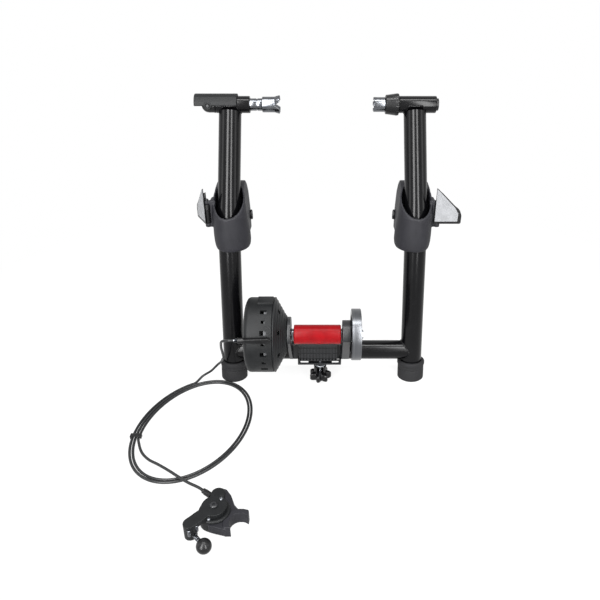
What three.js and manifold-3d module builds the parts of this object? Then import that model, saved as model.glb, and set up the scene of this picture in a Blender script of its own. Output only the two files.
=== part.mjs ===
// Magnetic turbo trainer for a bicycle's rear wheel, with a cable remote.
// Millimetres. X to the right, Y away from the viewer, Z up. The two front feet stand at Y zero
// while it is worked out, and the finished stand is then moved so that its origin lies on the floor
// under the middle of its box.
import * as THREE from "three";
import { mergeVertices } from "three/addons/utils/BufferGeometryUtils.js";
import Module from "manifold-3d";

const wasm = await Module();
wasm.setup();

// Clearances and shared values
const GAP = 0.3; // between pieces that touch
const RUN_GAP = 0.5; // round pieces that turn or slide
const OVERRUN = 4; // how far a cutter passes a face
const FINE_SIDES = 24;
const TUBE_SIDES = 20;
const SMALL_SIDES = 12;
const DRUM_SIDES = 28;
const FLUTE_SIDES = 8;
const BALL_SIDES = 16;
const BALL_RINGS = 10;
const CURL_SIDES = 5;
const CURL_STEPS = 8;
const DOME_STEPS = 5;
const WELD = 1e-4; // points nearer than this are one point

// Frame tubes
const TUBE_D = 35;
const TUBE_R = TUBE_D / 2;
const TOP_HALF_SPREAD = 144;
const KNEE_HALF_SPREAD = 147;
const FOOT_HALF_SPREAD = 152;
const KNEE_Y = 38;
const KNEE_Z = 272;
const BEND_LENGTH = 26; // tangent length of the bend at the knee
const UPRIGHT_STEPS = 10;
const AXLE_Y = 118;
const AXLE_Z = 431;
const BARREL_R = 12.7;
const UPRIGHT_TOP_DROP = 13; // tube end below the barrel's axis
const CROSSBAR_R = 16;
const CROSSBAR_Z = 49;

// Feet
const CAP_FLOOR = 6;
const CAP_R = 22;
const CAP_COLLAR_R = 23;
const CAP_LENGTH = 35;
const CAP_COLLAR_H = 7;
const CAP_EDGE = 3;
const CAP_SINK = 3.2; // how far the sloping cap's axis end lies under the floor before it is cut flat

// Fold knuckles, seen from the side: Y and Z of the moulding
const KNUCKLE_WIDTH = 56;
const KNUCKLE_FRONT = 8;
const KNUCKLE_BACK = 106;
const KNUCKLE_BOTTOM = 226;
const KNUCKLE_LIP_Z = 277;
const KNUCKLE_TOP_Z = 334;
const KNUCKLE_TOP_Y = 60;
const KNUCKLE_TOP_BACK_Y = 84;
const KNUCKLE_REAR_Z = 304;
const KNUCKLE_REAR_LOW_Z = 244;
const KNUCKLE_CORNER = 17;
const KNUCKLE_MOUTH_R = 23.5; // bore round the upper tube

// Rear legs
const LEG_D = 32;
const LEG_R = LEG_D / 2;
const LEG_PIVOT_Y = 82;
const LEG_PIVOT_Z = 262;
const LEG_FOOT_X = 234;
const LEG_FOOT_Y = 548;
const LEG_FOOT_Z = 18;
const LEG_PIN_R = 5;
const LEG_PIN_HEAD_R = 8;
const LEG_PIN_HEAD = 3;
const LEG_STOP_GAP = 0.4;

// Fold lock wings
const WING_REACH = 42;
const WING_LOW_Z = 265;
const WING_HIGH_Z = 322;
const WING_SHOULDER_Z = 295;
const WING_THICK = 3.6;
const WING_ROLL_R = 4.6;
const WING_PIN_R = 2;
const WING_PIN_HEAD_R = 3.4;
const WING_Y = 40;
const WING_EAR = 6;
const WING_REST_TURN_LEFT = 62; // degrees that the left wing is folded back

// Quick clamp on the left
const FORK_R = 12.4;
const LEFT_BARREL_OUT = 22; // distance of each place outwards from the upright's top, along the axle
const LEFT_BARREL_IN = -31;
const LEVER_PIN_X = 33;
const LEVER_PIN_R = 2.6;
const HANDLE_IN_R = 13.3;
const HANDLE_WALL = 3;
const HANDLE_LEFT = 54;
const HANDLE_RIGHT = -12;
const HANDLE_END_WALL = 5;
const HANDLE_EAR_DROP = 6;
const FORK_SLOT = 9;
const FORK_BRIDGE = 3.2; // joins the fork's two cheeks next to the barrel
const FORK_WINDOW = 10; // half height of the opening through that bridge
const CAM_WIDTH = 8;
const CAM_MAX_R = 12;
const CAM_MIN_R = 6;
const CAM_SWEEP = 95; // degrees of handle travel
const CAM_SPARE = 20; // degrees that the spiral runs on past it
const CAM_STEPS = 20;
const SPINDLE_R = 9.2;
const SPINDLE_SHANK_R = 6;
const BORE_R = 9.6;
const SHOULDER_FROM = -18;
const SHOULDER_TO = -22;
const SPINDLE_FRONT = -29;
const SPINDLE_FLANGE_FROM = 6;
const SPINDLE_FLANGE_TO = 2;
const NOSE_R = 2.4;
const CAM_GAP = 0.6;
const LEFT_CUP_BACK = -50.2;
const LEFT_CUP_MOUTH = -77.6;
const CUP_R = 11.7;
const CUP_MOUTH_R = 14;
const CUP_BORE_R = 5.5;
const CUP_RIM = 2.4;
const CUP_FLARE_SHARE = 0.7; // shares of the cup's depth, from its back
const CUP_SEAT_SHARE = 0.45;
const CUP_FLOOR_SHARE = 0.4;
const CUP_CORE_SHARE = 0.8; // part of the bore that the notches leave whole
const LEFT_NOTCHES = 4;
const LEFT_NOTCH_SHARE = 0.32;
const RIGHT_NOTCHES = 6;
const RIGHT_NOTCH_SHARE = 0.3;
const SPINDLE_GROOVE_BACK = 12; // from the spindle's shoulder
const SPINDLE_GROOVE_WIDTH = 2;
const SPRING_WIRE_R = 1;
const SPRING_MEAN_R = 7.9;
const SPRING_TURNS = 4;
const GROOVE = 0.7;

// Adjuster on the right, its places also outwards from the upright's top
const RIGHT_CUP_TIP = -64.8;
const RIGHT_CUP_BACK = -46.3;
const RIGHT_CUP_R = 11;
const COLLAR_R = 14.4;
const COLLAR_FLARE_R = 16.6;
const COLLAR_FROM = -45.9;
const COLLAR_TO = -25.4;
const RIGHT_BARREL_IN = -25;
const RIGHT_BARREL_OUT = 33;
const RIGHT_SPINDLE_OUT = 6;
const PLUG_IN = 24;
const PLUG_OUT = 36.5;
const FLUTE_R = 1.6;
const FLUTES = 14;

// Roller unit
const ROLLER_LEAN = 39.15; // degrees that the line from the crossbar up to the roller leans forward
const UNIT_BAR_GAP = 2.37; // between the drum and the crossbar
const ROLLER_R = 15.4;
const ROLLER_LEFT = -45;
const ROLLER_RIGHT = 29;
const ROLLER_CHAMFER = 1.4;
const AXLE_R = 5;
const AXLE_LEFT = -97;
const AXLE_RIGHT = 65;
const FLYWHEEL_R = 40.8;
const FLYWHEEL_LEFT = 45.3;
const FLYWHEEL_RIGHT = 60;
const FLYWHEEL_RIM = 9;
const FLYWHEEL_WEB = 7;
const FLYWHEEL_HUB_R = 12;
const NUT_R = 7.4;
const NUT_THICK = 4;
const ARM_LEFT = -55;
const ARM_LEFT_THICK = 5.5;
const ARM_LEFT_R = 28;
const ARM_RIGHT = 31;
const ARM_RIGHT_THICK = 13.5;
const ARM_RIGHT_R = 22.7;
const BEARING_R = 13;
const PLATE_FRONT = -12.4;
const PLATE_BACK = -8.2;
const PLATE_LOW = 42;
const PLATE_TOP = 70;
const SADDLE_LEFT = -39;
const SADDLE_RIGHT = 24;
const SADDLE_FRONT = -24;
const SADDLE_LOW = 37;
const SADDLE_TOP = 57;
const SADDLE_RIB = 1.6;
const SADDLE_RIBS = 7;
const STRAP_THICK = 3;
const STRAP_LEFT = -41;
const STRAP_RIGHT = 31;
const STRAP_CORNER = 4;
const STRAP_FRONT = -26;
const STRAP_BAND_LEFT = -24;
const STRAP_BAND_RIGHT = 16;
const KNOB_X = -4;
const KNOB_Y = -18.3;
const KNOB_LOW = 9;
const KNOB_R = 15;
const KNOB_HUB_R = 9;
const KNOB_LOBES = 7;
const KNOB_LOBE_STEPS = 8;
const KNOB_LOBE_R = 4.6;
const KNOB_THICK = 11;
const SCREW_R = 3;
const SCREW_BITE = 10; // how far the screw reaches into the saddle
const WASHER_R = 9;
const WASHER_THICK = 1.6;

// Resistance unit
const UNIT_R = 59;
const UNIT_LEFT = -122.2;
const UNIT_SHOULDER = -116;
const UNIT_JOINT = -75;
const UNIT_WALL = 3.5;
const UNIT_DISH_SHARE = 0.55; // the end's rings, as shares of the drum's radius
const UNIT_CROWN_SHARE = 0.85;
const UNIT_DISH_DROP = 1.4;
const UNIT_CROWN_DROP = 3.2;
const UNIT_STUB_R = 5;
const UNIT_STUB_END = -103;
const COVER_END = -55.3;
const COVER_NOSE_R = 32;
const COVER_STEP_R = 48;
const COVER_HOLE_R = 8;
const COVER_STEP_SHARE = 0.7; // the cover's ridges, as a share of the wall
const COVER_SLOT_SHARE = 0.8; // its slots, as a share of a vent's width
const VENTS = 16;
const VENT_LENGTH = 10;
const VENT_WIDTH = 9;
const VENT_X = -97;
const SMALL_VENT_SHARE = 0.7;
const LID_LENGTH = 15;
const LID_WIDTH = 26;
const LID_HEIGHT = 2.4;
const DISC_CLEARANCE = 6.5; // between the disc's rim and the drum's wall
const DISC_THICK = 4;
const DISC_X = -96;
const CARRIER_CLEARANCE = 7.5; // between the carrier's rim and the drum's wall
const CARRIER_LEFT = -111.5;
const CARRIER_THICK = 7;
const MAGNET_R = 9;
const MAGNET_RISE = 4;
const MAGNETS = 6;
const RING_LEFT = -88;
const RING_RIGHT = -82;
const RING_IN_R = 20;
const BOSS_ANGLE = 23; // degrees above level, on the viewer's side of the drum
const BOSS_LEFT = -126;
const BOSS_RIGHT = -77;
const BOSS_WIDTH = 9;
const BOSS_RISE = 7;
const ADJUSTER_R = 3.2;
const ADJUSTER_LENGTH = 9;

// Control cable: three stretches that meet face to face
const CABLE_R = 2;
const CABLE_LIFT = 0.2; // a faceted cable's clearance over the floor
const LOOP_X = -195.5;
const LOOP_Y = -133;
const LOOP_HALF_X = 84;
const LOOP_HALF_Y = 120;
const LOOP_TILT = 16; // degrees that the loop's long way leans to the right
const LOOP_START = 40; // degrees past its far point, on the way to the left
const LOOP_TURNS = 2.2;
const LOOP_PITCH = 4.8;
const LOOP_STEPS = 24;
const LOOP_SIDES = 6;
const LEAD_STEPS = 30;
const TAIL_STEPS = 22;
const CABLE_SIDES = 8;
const CABLE_RUN_OUT = 8; // straight stretch at an end
const TIE_WALL = 1.2;
const TIE_LENGTH = 7;

// Remote lever, lying on the floor with its pivot upright
const REMOTE_X = -134;
const REMOTE_Y = -308;
const REMOTE_R = 20;
const REMOTE_TOP = 18;
const REMOTE_LUG_R = 9;
const REMOTE_LUG_Y = 28;
const REMOTE_EDGE = 1.5;
const BAR_X = 33; // middle of the handlebar's seat, from the pivot
const BAR_Y = -17;
const BAR_R = 13;
const CLAMP_R = 20;
const CLAMP_LIP = 4;
const LEVER_R = 16;
const LEVER_THICK = 6.5;
const LEVER_END_X = -25;
const LEVER_END_Y = -26;
const LEVER_END_R = 8;
const LEVER_END_LOW = 3;
const BALL_R = 10;
const BALL_X = -5;
const BALL_Y = -47;
const BALL_LIFT = 0.3;
const STEM_R = 2.5;
const PIVOT_SCREW_R = 3;
const PIVOT_HEAD_R = 5;
const PIVOT_HEAD = 2.4;
const FERRULE_R = 4;
const FERRULE_LENGTH = 15;
const FERRULE_X = -22; // its mouth, from the pivot
const FERRULE_Y = 39;
const FERRULE_Z = 9;
const FERRULE_AIM = -37; // degrees from the X axis, the way the cable runs in

const rad = THREE.MathUtils.degToRad;
const turnOf = (index, count) => (2 * Math.PI * index) / count;

// Solids from three.js shapes
// Joins the shared points of a shape, drops slivers without area and turns its faces outward.
function solid(geometry) {
  const bare = geometry.clone();
  bare.deleteAttribute("normal");
  bare.deleteAttribute("uv");
  const merged = mergeVertices(bare, WELD);
  const place = merged.getAttribute("position").array;
  const corners = merged.getIndex().array;
  const kept = [];
  for (let i = 0; i < corners.length; i += 3) {
    const [a, b, c] = corners.slice(i, i + 3);
    if (a !== b && b !== c && c !== a) kept.push(a, b, c);
  }
  if (signedVolume(place, kept) < 0) kept.reverse();
  const mesh = new wasm.Mesh({
    numProp: 3,
    vertProperties: Float32Array.from(place),
    triVerts: Uint32Array.from(kept),
  });
  return new wasm.Manifold(mesh);
}

function signedVolume(place, corners) {
  const point = (i) => new THREE.Vector3().fromArray(place, i * 3);
  let sum = 0;
  for (let i = 0; i < corners.length; i += 3) {
    const [a, b, c] = [point(corners[i]), point(corners[i + 1]), point(corners[i + 2])];
    sum += a.dot(b.cross(c));
  }
  return sum;
}

function toGeometry(body) {
  const mesh = body.getMesh();
  const geometry = new THREE.BufferGeometry();
  geometry.setAttribute("position", new THREE.BufferAttribute(Float32Array.from(mesh.vertProperties), 3));
  geometry.setIndex(Array.from(mesh.triVerts));
  geometry.computeVertexNormals();
  return geometry;
}

const joined = (bodies) => bodies.reduce((all, body) => all.add(body));
const cutBy = (body, tools) => tools.reduce((left, tool) => left.subtract(tool), body);

// Outline points round a circle, seen with the first axis to the right and the second up.
function ring(radius, sides, x = 0, y = 0) {
  return Array.from({ length: sides }, (_, i) => {
    const angle = turnOf(i + 0.5, sides);
    return new THREE.Vector2(x + radius * Math.cos(angle), y + radius * Math.sin(angle));
  });
}

const outline = (pairs) => new THREE.Shape(pairs.map(([x, y]) => new THREE.Vector2(x, y)));

function roundedBox(left, low, right, high, radius, steps = 3) {
  const shape = new THREE.Shape();
  shape.moveTo(left + radius, low);
  shape.lineTo(right - radius, low);
  shape.absarc(right - radius, low + radius, radius, -Math.PI / 2, 0, false);
  shape.absarc(right - radius, high - radius, radius, 0, Math.PI / 2, false);
  shape.absarc(left + radius, high - radius, radius, Math.PI / 2, Math.PI, false);
  shape.absarc(left + radius, low + radius, radius, Math.PI, 1.5 * Math.PI, false);
  return new THREE.Shape(shape.getPoints(steps));
}

const moved = (geometry, x, y, z) => geometry.translate(x, y, z);

// A flat outline drawn in X and Y and raised along Z.
function slabZ(shape, from, to) {
  const depth = to - from;
  return moved(new THREE.ExtrudeGeometry(shape, { depth, bevelEnabled: false }), 0, 0, from);
}

// A flat outline drawn in Y and Z and carried along X.
function slabX(shape, from, to) {
  const geometry = slabZ(shape, from, to);
  return geometry.applyMatrix4(new THREE.Matrix4().set(0, 0, 1, 0, 1, 0, 0, 0, 0, 1, 0, 0, 0, 0, 0, 1));
}

// A flat outline drawn in X and Z and carried along Y.
function slabY(shape, from, to) {
  const geometry = slabZ(shape, from, to);
  return geometry.applyMatrix4(new THREE.Matrix4().set(1, 0, 0, 0, 0, 0, 1, 0, 0, 1, 0, 0, 0, 0, 0, 1));
}

// A closed profile of radius and place, turned about the X axis.
function turnedX(profile, sides) {
  const points = profile.map(([radius, x]) => new THREE.Vector2(radius, x));
  return new THREE.LatheGeometry(points, sides, Math.PI / sides).rotateZ(-Math.PI / 2);
}

// The same about the Z axis.
function turnedZ(profile, sides) {
  const points = profile.map(([radius, z]) => new THREE.Vector2(radius, z));
  return new THREE.LatheGeometry(points, sides, Math.PI / sides).rotateX(Math.PI / 2);
}

const rodProfile = (radius, from, to) => [
  [0, from],
  [radius, from],
  [radius, to],
  [0, to],
];

const tubeProfile = (outer, inner, from, to) => [
  [inner, from],
  [outer, from],
  [outer, to],
  [inner, to],
  [inner, from],
];

const rodX = (radius, from, to, sides = FINE_SIDES) => turnedX(rodProfile(radius, from, to), sides);
const rodZ = (radius, from, to, sides = FINE_SIDES) => turnedZ(rodProfile(radius, from, to), sides);
const rodY = (radius, from, to, sides = FINE_SIDES) =>
  turnedZ(rodProfile(radius, -to, -from), sides).rotateX(Math.PI / 2);

// A round bar between two points, with room past its ends.
function barBetween(start, end, radius, before, after, sides) {
  const along = end.clone().sub(start);
  const geometry = rodZ(radius, -before, along.length() + after, sides);
  const up = new THREE.Vector3(0, 0, 1);
  const turn = new THREE.Quaternion().setFromUnitVectors(up, along.normalize());
  return moved(geometry.applyQuaternion(turn), start.x, start.y, start.z);
}

function boxAt(x, y, z, width, depth, height) {
  return moved(new THREE.BoxGeometry(width, depth, height), x, y, z);
}

// A round section carried along a curve.
function sweep(path, radius, sides, steps) {
  const section = new THREE.Shape(ring(radius, sides));
  return new THREE.ExtrudeGeometry(section, { steps, bevelEnabled: false, extrudePath: path });
}

// Finishes
const finish = (color, roughness, metalness) => ({ color, roughness, metalness });
const GLOSS_BLACK = finish("#141416", 0.3, 0);
const SHROUD_GREY = finish("#2b2b2e", 0.6, 0);
const HOUSING_GREY = finish("#333438", 0.55, 0);
const CHROME = finish("#d6d8da", 0.15, 1);
const STEEL = finish("#b9bcc0", 0.32, 1);
const ZINC = finish("#a9adb1", 0.45, 1);
const BLACK_STEEL = finish("#1c1d1f", 0.45, 0.2);
const RUBBER = finish("#303134", 0.8, 0);
const CRIMSON = finish("#b81d30", 0.45, 0);
const KNOB_BLACK = finish("#17181a", 0.5, 0);
const SILVER_LABEL = finish("#c4c6c8", 0.4, 0.3);

const trainer = new THREE.Group();

function add(name, body, look, parent = trainer) {
  const mesh = new THREE.Mesh(toGeometry(body), new THREE.MeshStandardMaterial(look));
  mesh.name = name;
  parent.add(mesh);
  return mesh;
}

// The frame
const at = (x, y, z) => new THREE.Vector3(x, y, z);
const SIDES = [
  ["left", -1],
  ["right", 1],
];

const footPoint = (side) => at(side * FOOT_HALF_SPREAD, 0, 0);
const kneePoint = (side) => at(side * KNEE_HALF_SPREAD, KNEE_Y, KNEE_Z);
const topPoint = (side) => at(side * TOP_HALF_SPREAD, AXLE_Y, AXLE_Z);
const between = (a, b, length) => a.clone().addScaledVector(b.clone().sub(a).normalize(), length);

// The bent tube's middle line, from the cap's floor to just under the barrel's axis.
function uprightPath(side) {
  const start = between(footPoint(side), kneePoint(side), CAP_FLOOR + GAP + CAP_SINK);
  const end = between(topPoint(side), kneePoint(side), UPRIGHT_TOP_DROP);
  const knee = kneePoint(side);
  const path = new THREE.CurvePath();
  const bendFrom = between(knee, start, BEND_LENGTH);
  const bendTo = between(knee, end, BEND_LENGTH);
  path.add(new THREE.LineCurve3(start, bendFrom));
  path.add(new THREE.QuadraticBezierCurve3(bendFrom, knee, bendTo));
  path.add(new THREE.LineCurve3(bendTo, end));
  return path;
}

const uprightEnvelope = (side, extra) =>
  solid(sweep(uprightPath(side), TUBE_R + extra, TUBE_SIDES, UPRIGHT_STEPS));
const axleRod = (radius, from, to, sides) => moved(rodX(radius, from, to, sides), 0, AXLE_Y, AXLE_Z);

for (const [word, side] of SIDES) {
  const top = side * TOP_HALF_SPREAD;
  const barrelRoom = solid(axleRod(BARREL_R + GAP, top - HANDLE_LEFT, top + HANDLE_LEFT));
  add("upright_" + word, uprightEnvelope(side, 0).subtract(barrelRoom), GLOSS_BLACK);
}

const crossbarEnd = FOOT_HALF_SPREAD;
const crossbarY = KNEE_Y * (CROSSBAR_Z / KNEE_Z);
const rollerReach = UNIT_R + UNIT_BAR_GAP + CROSSBAR_R;
const rollerY = crossbarY - rollerReach * Math.sin(rad(ROLLER_LEAN));
const rollerZ = CROSSBAR_Z + rollerReach * Math.cos(rad(ROLLER_LEAN));
const crossbarRod = moved(rodX(CROSSBAR_R, -crossbarEnd, crossbarEnd, TUBE_SIDES), 0, crossbarY, CROSSBAR_Z);
add("crossbar", cutBy(solid(crossbarRod), [uprightEnvelope(-1, GAP), uprightEnvelope(1, GAP)]), GLOSS_BLACK);

// Feet: a cap along its tube, cut flat where it stands
const floorBlock = solid(boxAt(0, 0, -KNEE_Z, 4 * LEG_FOOT_Y, 4 * LEG_FOOT_Y, 2 * KNEE_Z));

function footCap(start, along, tubeR, tubeFrom, sink) {
  const profile = [
    [0, -sink],
    [CAP_R - CAP_EDGE, -sink],
    [CAP_R, CAP_EDGE - sink],
    [CAP_R, CAP_LENGTH - CAP_COLLAR_H - sink],
    [CAP_COLLAR_R, CAP_LENGTH - CAP_COLLAR_H + CAP_EDGE / 2 - sink],
    [CAP_COLLAR_R, CAP_LENGTH - CAP_EDGE / 2 - sink],
    [CAP_COLLAR_R - CAP_EDGE / 2, CAP_LENGTH - sink],
    [0, CAP_LENGTH - sink],
  ];
  const turn = new THREE.Quaternion().setFromUnitVectors(at(0, 0, 1), along);
  const place = (geometry) => moved(geometry.applyQuaternion(turn), start.x, start.y, start.z);
  const cap = solid(place(turnedZ(profile, FINE_SIDES)));
  const socket = solid(place(rodZ(tubeR + GAP, tubeFrom - GAP, CAP_LENGTH + OVERRUN, TUBE_SIDES)));
  return cap.subtract(socket).subtract(floorBlock);
}

const legFoot = (side) => at(side * LEG_FOOT_X, LEG_FOOT_Y, LEG_FOOT_Z);
const legPivot = (side) => at(side * KNEE_HALF_SPREAD, LEG_PIVOT_Y, LEG_PIVOT_Z);
const legAlong = (side) => legFoot(side).sub(legPivot(side)).normalize();

for (const [word, side] of SIDES) {
  const up = kneePoint(side).sub(footPoint(side)).normalize();
  const cap = footCap(footPoint(side), up, TUBE_R, CAP_FLOOR + GAP + CAP_SINK, CAP_SINK);
  add("foot_cap_front_" + word, cap, RUBBER);
}

// Fold knuckles
// A leg's own direction seen from above, which its pin lies square to.
function yokeTurn(side) {
  const along = legAlong(side);
  return Math.atan2(-along.x, along.y);
}

// Turns a shape made about the left-right line at the leg's pivot into its yoke.
function intoYoke(geometry, side) {
  const pivot = legPivot(side);
  return moved(geometry.rotateZ(yokeTurn(side)), pivot.x, pivot.y, pivot.z);
}

function legSlot(side) {
  const along = legAlong(side);
  const dip = Math.asin(-along.z);
  const room = LEG_R + LEG_STOP_GAP;
  const roofStart = [room * Math.sin(dip), room * Math.cos(dip)];
  const reach = 2 * KNUCKLE_BACK;
  const roofEnd = [roofStart[0] + reach * Math.cos(dip), roofStart[1] - reach * Math.sin(dip)];
  const shape = new THREE.Shape();
  shape.moveTo(-room, 0);
  shape.absarc(0, 0, room, Math.PI, Math.PI / 2 - dip, true);
  shape.lineTo(roofEnd[0], roofEnd[1]);
  shape.lineTo(reach, -reach);
  shape.lineTo(-room, -reach);
  const half = LEG_R + RUN_GAP;
  return solid(intoYoke(slabX(new THREE.Shape(shape.getPoints(8)), -half, half), side));
}

function knuckle(side) {
  const x = side * (KNEE_HALF_SPREAD - GAP);
  const half = KNUCKLE_WIDTH / 2;
  const front = slabY(
    roundedBox(x - half, KNUCKLE_BOTTOM, x + half, KNUCKLE_TOP_Z + KNUCKLE_CORNER, KNUCKLE_CORNER),
    KNUCKLE_FRONT,
    KNUCKLE_BACK,
  );
  const plan = slabZ(
    roundedBox(x - half, KNUCKLE_FRONT, x + half, KNUCKLE_BACK, KNUCKLE_CORNER),
    KNUCKLE_BOTTOM,
    KNUCKLE_TOP_Z,
  );
  const profile = slabX(
    outline([
      [KNUCKLE_FRONT, KNUCKLE_BOTTOM],
      [KNUCKLE_TOP_BACK_Y, KNUCKLE_BOTTOM],
      [KNUCKLE_BACK, KNUCKLE_REAR_LOW_Z],
      [KNUCKLE_BACK, KNUCKLE_REAR_Z],
      [KNUCKLE_TOP_BACK_Y, KNUCKLE_TOP_Z],
      [KNUCKLE_TOP_Y, KNUCKLE_TOP_Z],
      [KNUCKLE_FRONT, KNUCKLE_LIP_Z],
    ]),
    x - half,
    x + half,
  );
  const mouth = barBetween(kneePoint(side), topPoint(side), KNUCKLE_MOUTH_R, 0, 0, FINE_SIDES);
  const block = solid(front).intersect(solid(plan)).intersect(solid(profile));
  const pinRoom = intoYoke(rodX(LEG_PIN_R + GAP, -KNUCKLE_WIDTH, KNUCKLE_WIDTH, SMALL_SIDES), side);
  const ears = wingEars(side);
  return cutBy(block.add(ears), [solid(mouth), uprightEnvelope(side, GAP), legSlot(side), solid(pinRoom)]);
}

// Fold lock wings at the knuckles' outer sides
const wingAxisX = (side) => side * (KNEE_HALF_SPREAD + KNUCKLE_WIDTH / 2 + WING_ROLL_R + GAP);

function wingEars(side) {
  const x = wingAxisX(side);
  const inner = side * (KNEE_HALF_SPREAD + KNUCKLE_WIDTH / 2 - WING_ROLL_R);
  const ear = (low) => {
    const tip = moved(rodZ(WING_ROLL_R, low, low + WING_EAR, SMALL_SIDES), x, WING_Y, 0);
    const width = Math.abs(x - inner);
    const web = boxAt((x + inner) / 2, WING_Y, low + WING_EAR / 2, width, WING_ROLL_R, WING_EAR);
    return solid(tip).add(solid(web));
  };
  const low = WING_LOW_Z - WING_EAR - GAP;
  const high = WING_SHOULDER_Z + GAP;
  const boreTop = high + WING_EAR + OVERRUN;
  const bore = moved(rodZ(WING_PIN_R + GAP, low - OVERRUN, boreTop, SMALL_SIDES), x, WING_Y, 0);
  return ear(low).add(ear(high)).subtract(solid(bore));
}

// The wing lies open to the side: a hinge roll, and a blade with a sloping shoulder.
function wingBlade() {
  const start = WING_ROLL_R / 2;
  const shape = outline([
    [start, WING_LOW_Z],
    [WING_REACH, WING_LOW_Z],
    [WING_REACH + WING_THICK, WING_LOW_Z + WING_THICK],
    [WING_REACH + WING_THICK, WING_LOW_Z + 3 * WING_THICK],
    [WING_REACH - 2 * WING_THICK, WING_SHOULDER_Z - WING_THICK],
    [start + 3 * WING_THICK, WING_HIGH_Z],
    [start + WING_ROLL_R, WING_HIGH_Z],
    [start + WING_ROLL_R, WING_SHOULDER_Z - WING_THICK],
    [start, WING_SHOULDER_Z - WING_THICK],
  ]);
  const blade = solid(slabY(shape, -WING_THICK / 2, WING_THICK / 2));
  const roll = solid(rodZ(WING_ROLL_R, WING_LOW_Z, WING_SHOULDER_Z - WING_THICK / 2, SMALL_SIDES));
  const bore = solid(rodZ(WING_PIN_R + GAP, WING_LOW_Z - OVERRUN, WING_HIGH_Z, SMALL_SIDES));
  return roll.add(blade).subtract(bore);
}

for (const [word, side] of SIDES) {
  add("knuckle_" + word, knuckle(side), SHROUD_GREY);
  const hinge = new THREE.Group();
  hinge.position.set(wingAxisX(side), WING_Y, 0);
  hinge.rotation.z = side < 0 ? Math.PI - rad(WING_REST_TURN_LEFT) : 0;
  trainer.add(hinge);
  add("wing_" + word, wingBlade(), SILVER_LABEL, hinge);
  const pinLow = WING_LOW_Z - WING_EAR - 2 * GAP;
  const pinHigh = WING_SHOULDER_Z + WING_EAR + 2 * GAP;
  const head = rodZ(WING_PIN_HEAD_R, pinHigh, pinHigh + WING_PIN_R, SMALL_SIDES);
  const pin = solid(rodZ(WING_PIN_R, pinLow, pinHigh + GAP, SMALL_SIDES)).add(solid(head));
  add("wing_pin_" + word, pin, ZINC, hinge);
}

// Rear legs, each on a pin with a head at both ends
const pinHalf = KNUCKLE_WIDTH / 2 + LEG_PIN_HEAD;
const legPinProfile = [
  [0, -pinHalf - LEG_PIN_HEAD],
  [LEG_PIN_HEAD_R, -pinHalf - LEG_PIN_HEAD],
  [LEG_PIN_HEAD_R, -pinHalf],
  [LEG_PIN_R, -pinHalf],
  [LEG_PIN_R, pinHalf],
  [LEG_PIN_HEAD_R, pinHalf],
  [LEG_PIN_HEAD_R, pinHalf + LEG_PIN_HEAD],
  [0, pinHalf + LEG_PIN_HEAD],
];

for (const [word, side] of SIDES) {
  const pivot = legPivot(side);
  const along = legAlong(side);
  const length = legFoot(side).distanceTo(pivot);
  const tube = solid(barBetween(pivot, legFoot(side), LEG_R, 0, 0, TUBE_SIDES));
  const eye = solid(intoYoke(rodX(LEG_R, -LEG_R, LEG_R, TUBE_SIDES), side));
  const bore = solid(intoYoke(rodX(LEG_PIN_R + GAP, -LEG_D, LEG_D, SMALL_SIDES), side));
  add("rear_leg_" + word, tube.add(eye).subtract(bore), GLOSS_BLACK);
  const back = along.clone().negate();
  const capStart = pivot.clone().addScaledVector(along, length + CAP_FLOOR + GAP);
  add("foot_cap_rear_" + word, footCap(capStart, back, LEG_R, CAP_FLOOR + GAP, 0), RUBBER);
  const pin = intoYoke(turnedX(legPinProfile, SMALL_SIDES), side);
  add("leg_pin_" + word, solid(pin), ZINC);
}

// Axle line: each half is drawn about the X axis, and its group lifts it to the top of its upright.
function axleGroup(side) {
  const group = new THREE.Group();
  group.position.set(side * TOP_HALF_SPREAD, AXLE_Y, AXLE_Z);
  trainer.add(group);
  return group;
}
const leftAxle = axleGroup(-1);
const rightAxle = axleGroup(1);

// Left barrel, with a shoulder inside for the spring and a counterbore for the spindle
const leftBarrelProfile = [
  [BORE_R, -LEFT_BARREL_OUT],
  [BARREL_R, -LEFT_BARREL_OUT],
  [BARREL_R, -LEFT_BARREL_IN],
  [BORE_R, -LEFT_BARREL_IN],
  [BORE_R, -SHOULDER_TO],
  [SPINDLE_SHANK_R + GAP, -SHOULDER_TO],
  [SPINDLE_SHANK_R + GAP, -SHOULDER_FROM],
  [BORE_R, -SHOULDER_FROM],
  [BORE_R, -LEFT_BARREL_OUT],
];
add("axle_barrel_left", solid(turnedX(leftBarrelProfile, FINE_SIDES)), GLOSS_BLACK, leftAxle);

// What turns on the lever's pin has this bore, longer than anything on it is wide.
const leverPinRoom = () =>
  solid(moved(rodY(LEVER_PIN_R + GAP, -HANDLE_LEFT, HANDLE_LEFT, SMALL_SIDES), -LEVER_PIN_X, 0, 0));

// The fork closes the barrel's outer end, domed about the lever's pin so that the handle can turn past it.
function leverFork() {
  const right = -LEFT_BARREL_OUT - GAP;
  const dome = Array.from({ length: DOME_STEPS + 1 }, (_, index) => {
    const turn = (Math.PI / 2) * (index / DOME_STEPS);
    return [FORK_R * Math.sin(turn), -LEVER_PIN_X - FORK_R * Math.cos(turn)];
  });
  const body = solid(turnedX([...dome, [FORK_R, right], [0, right]], TUBE_SIDES));
  const tall = right - FORK_BRIDGE - (-LEVER_PIN_X - FORK_R - OVERRUN);
  const tallMiddle = right - FORK_BRIDGE - tall / 2;
  const slot = solid(boxAt(tallMiddle, 0, 0, tall, FORK_SLOT, 3 * FORK_R)).add(
    solid(boxAt(right, 0, 0, 3 * FORK_BRIDGE, FORK_SLOT, 2 * FORK_WINDOW)),
  );
  return cutBy(body, [slot, leverPinRoom()]);
}
add("lever_fork", leverFork(), HOUSING_GREY, leftAxle);

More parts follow.
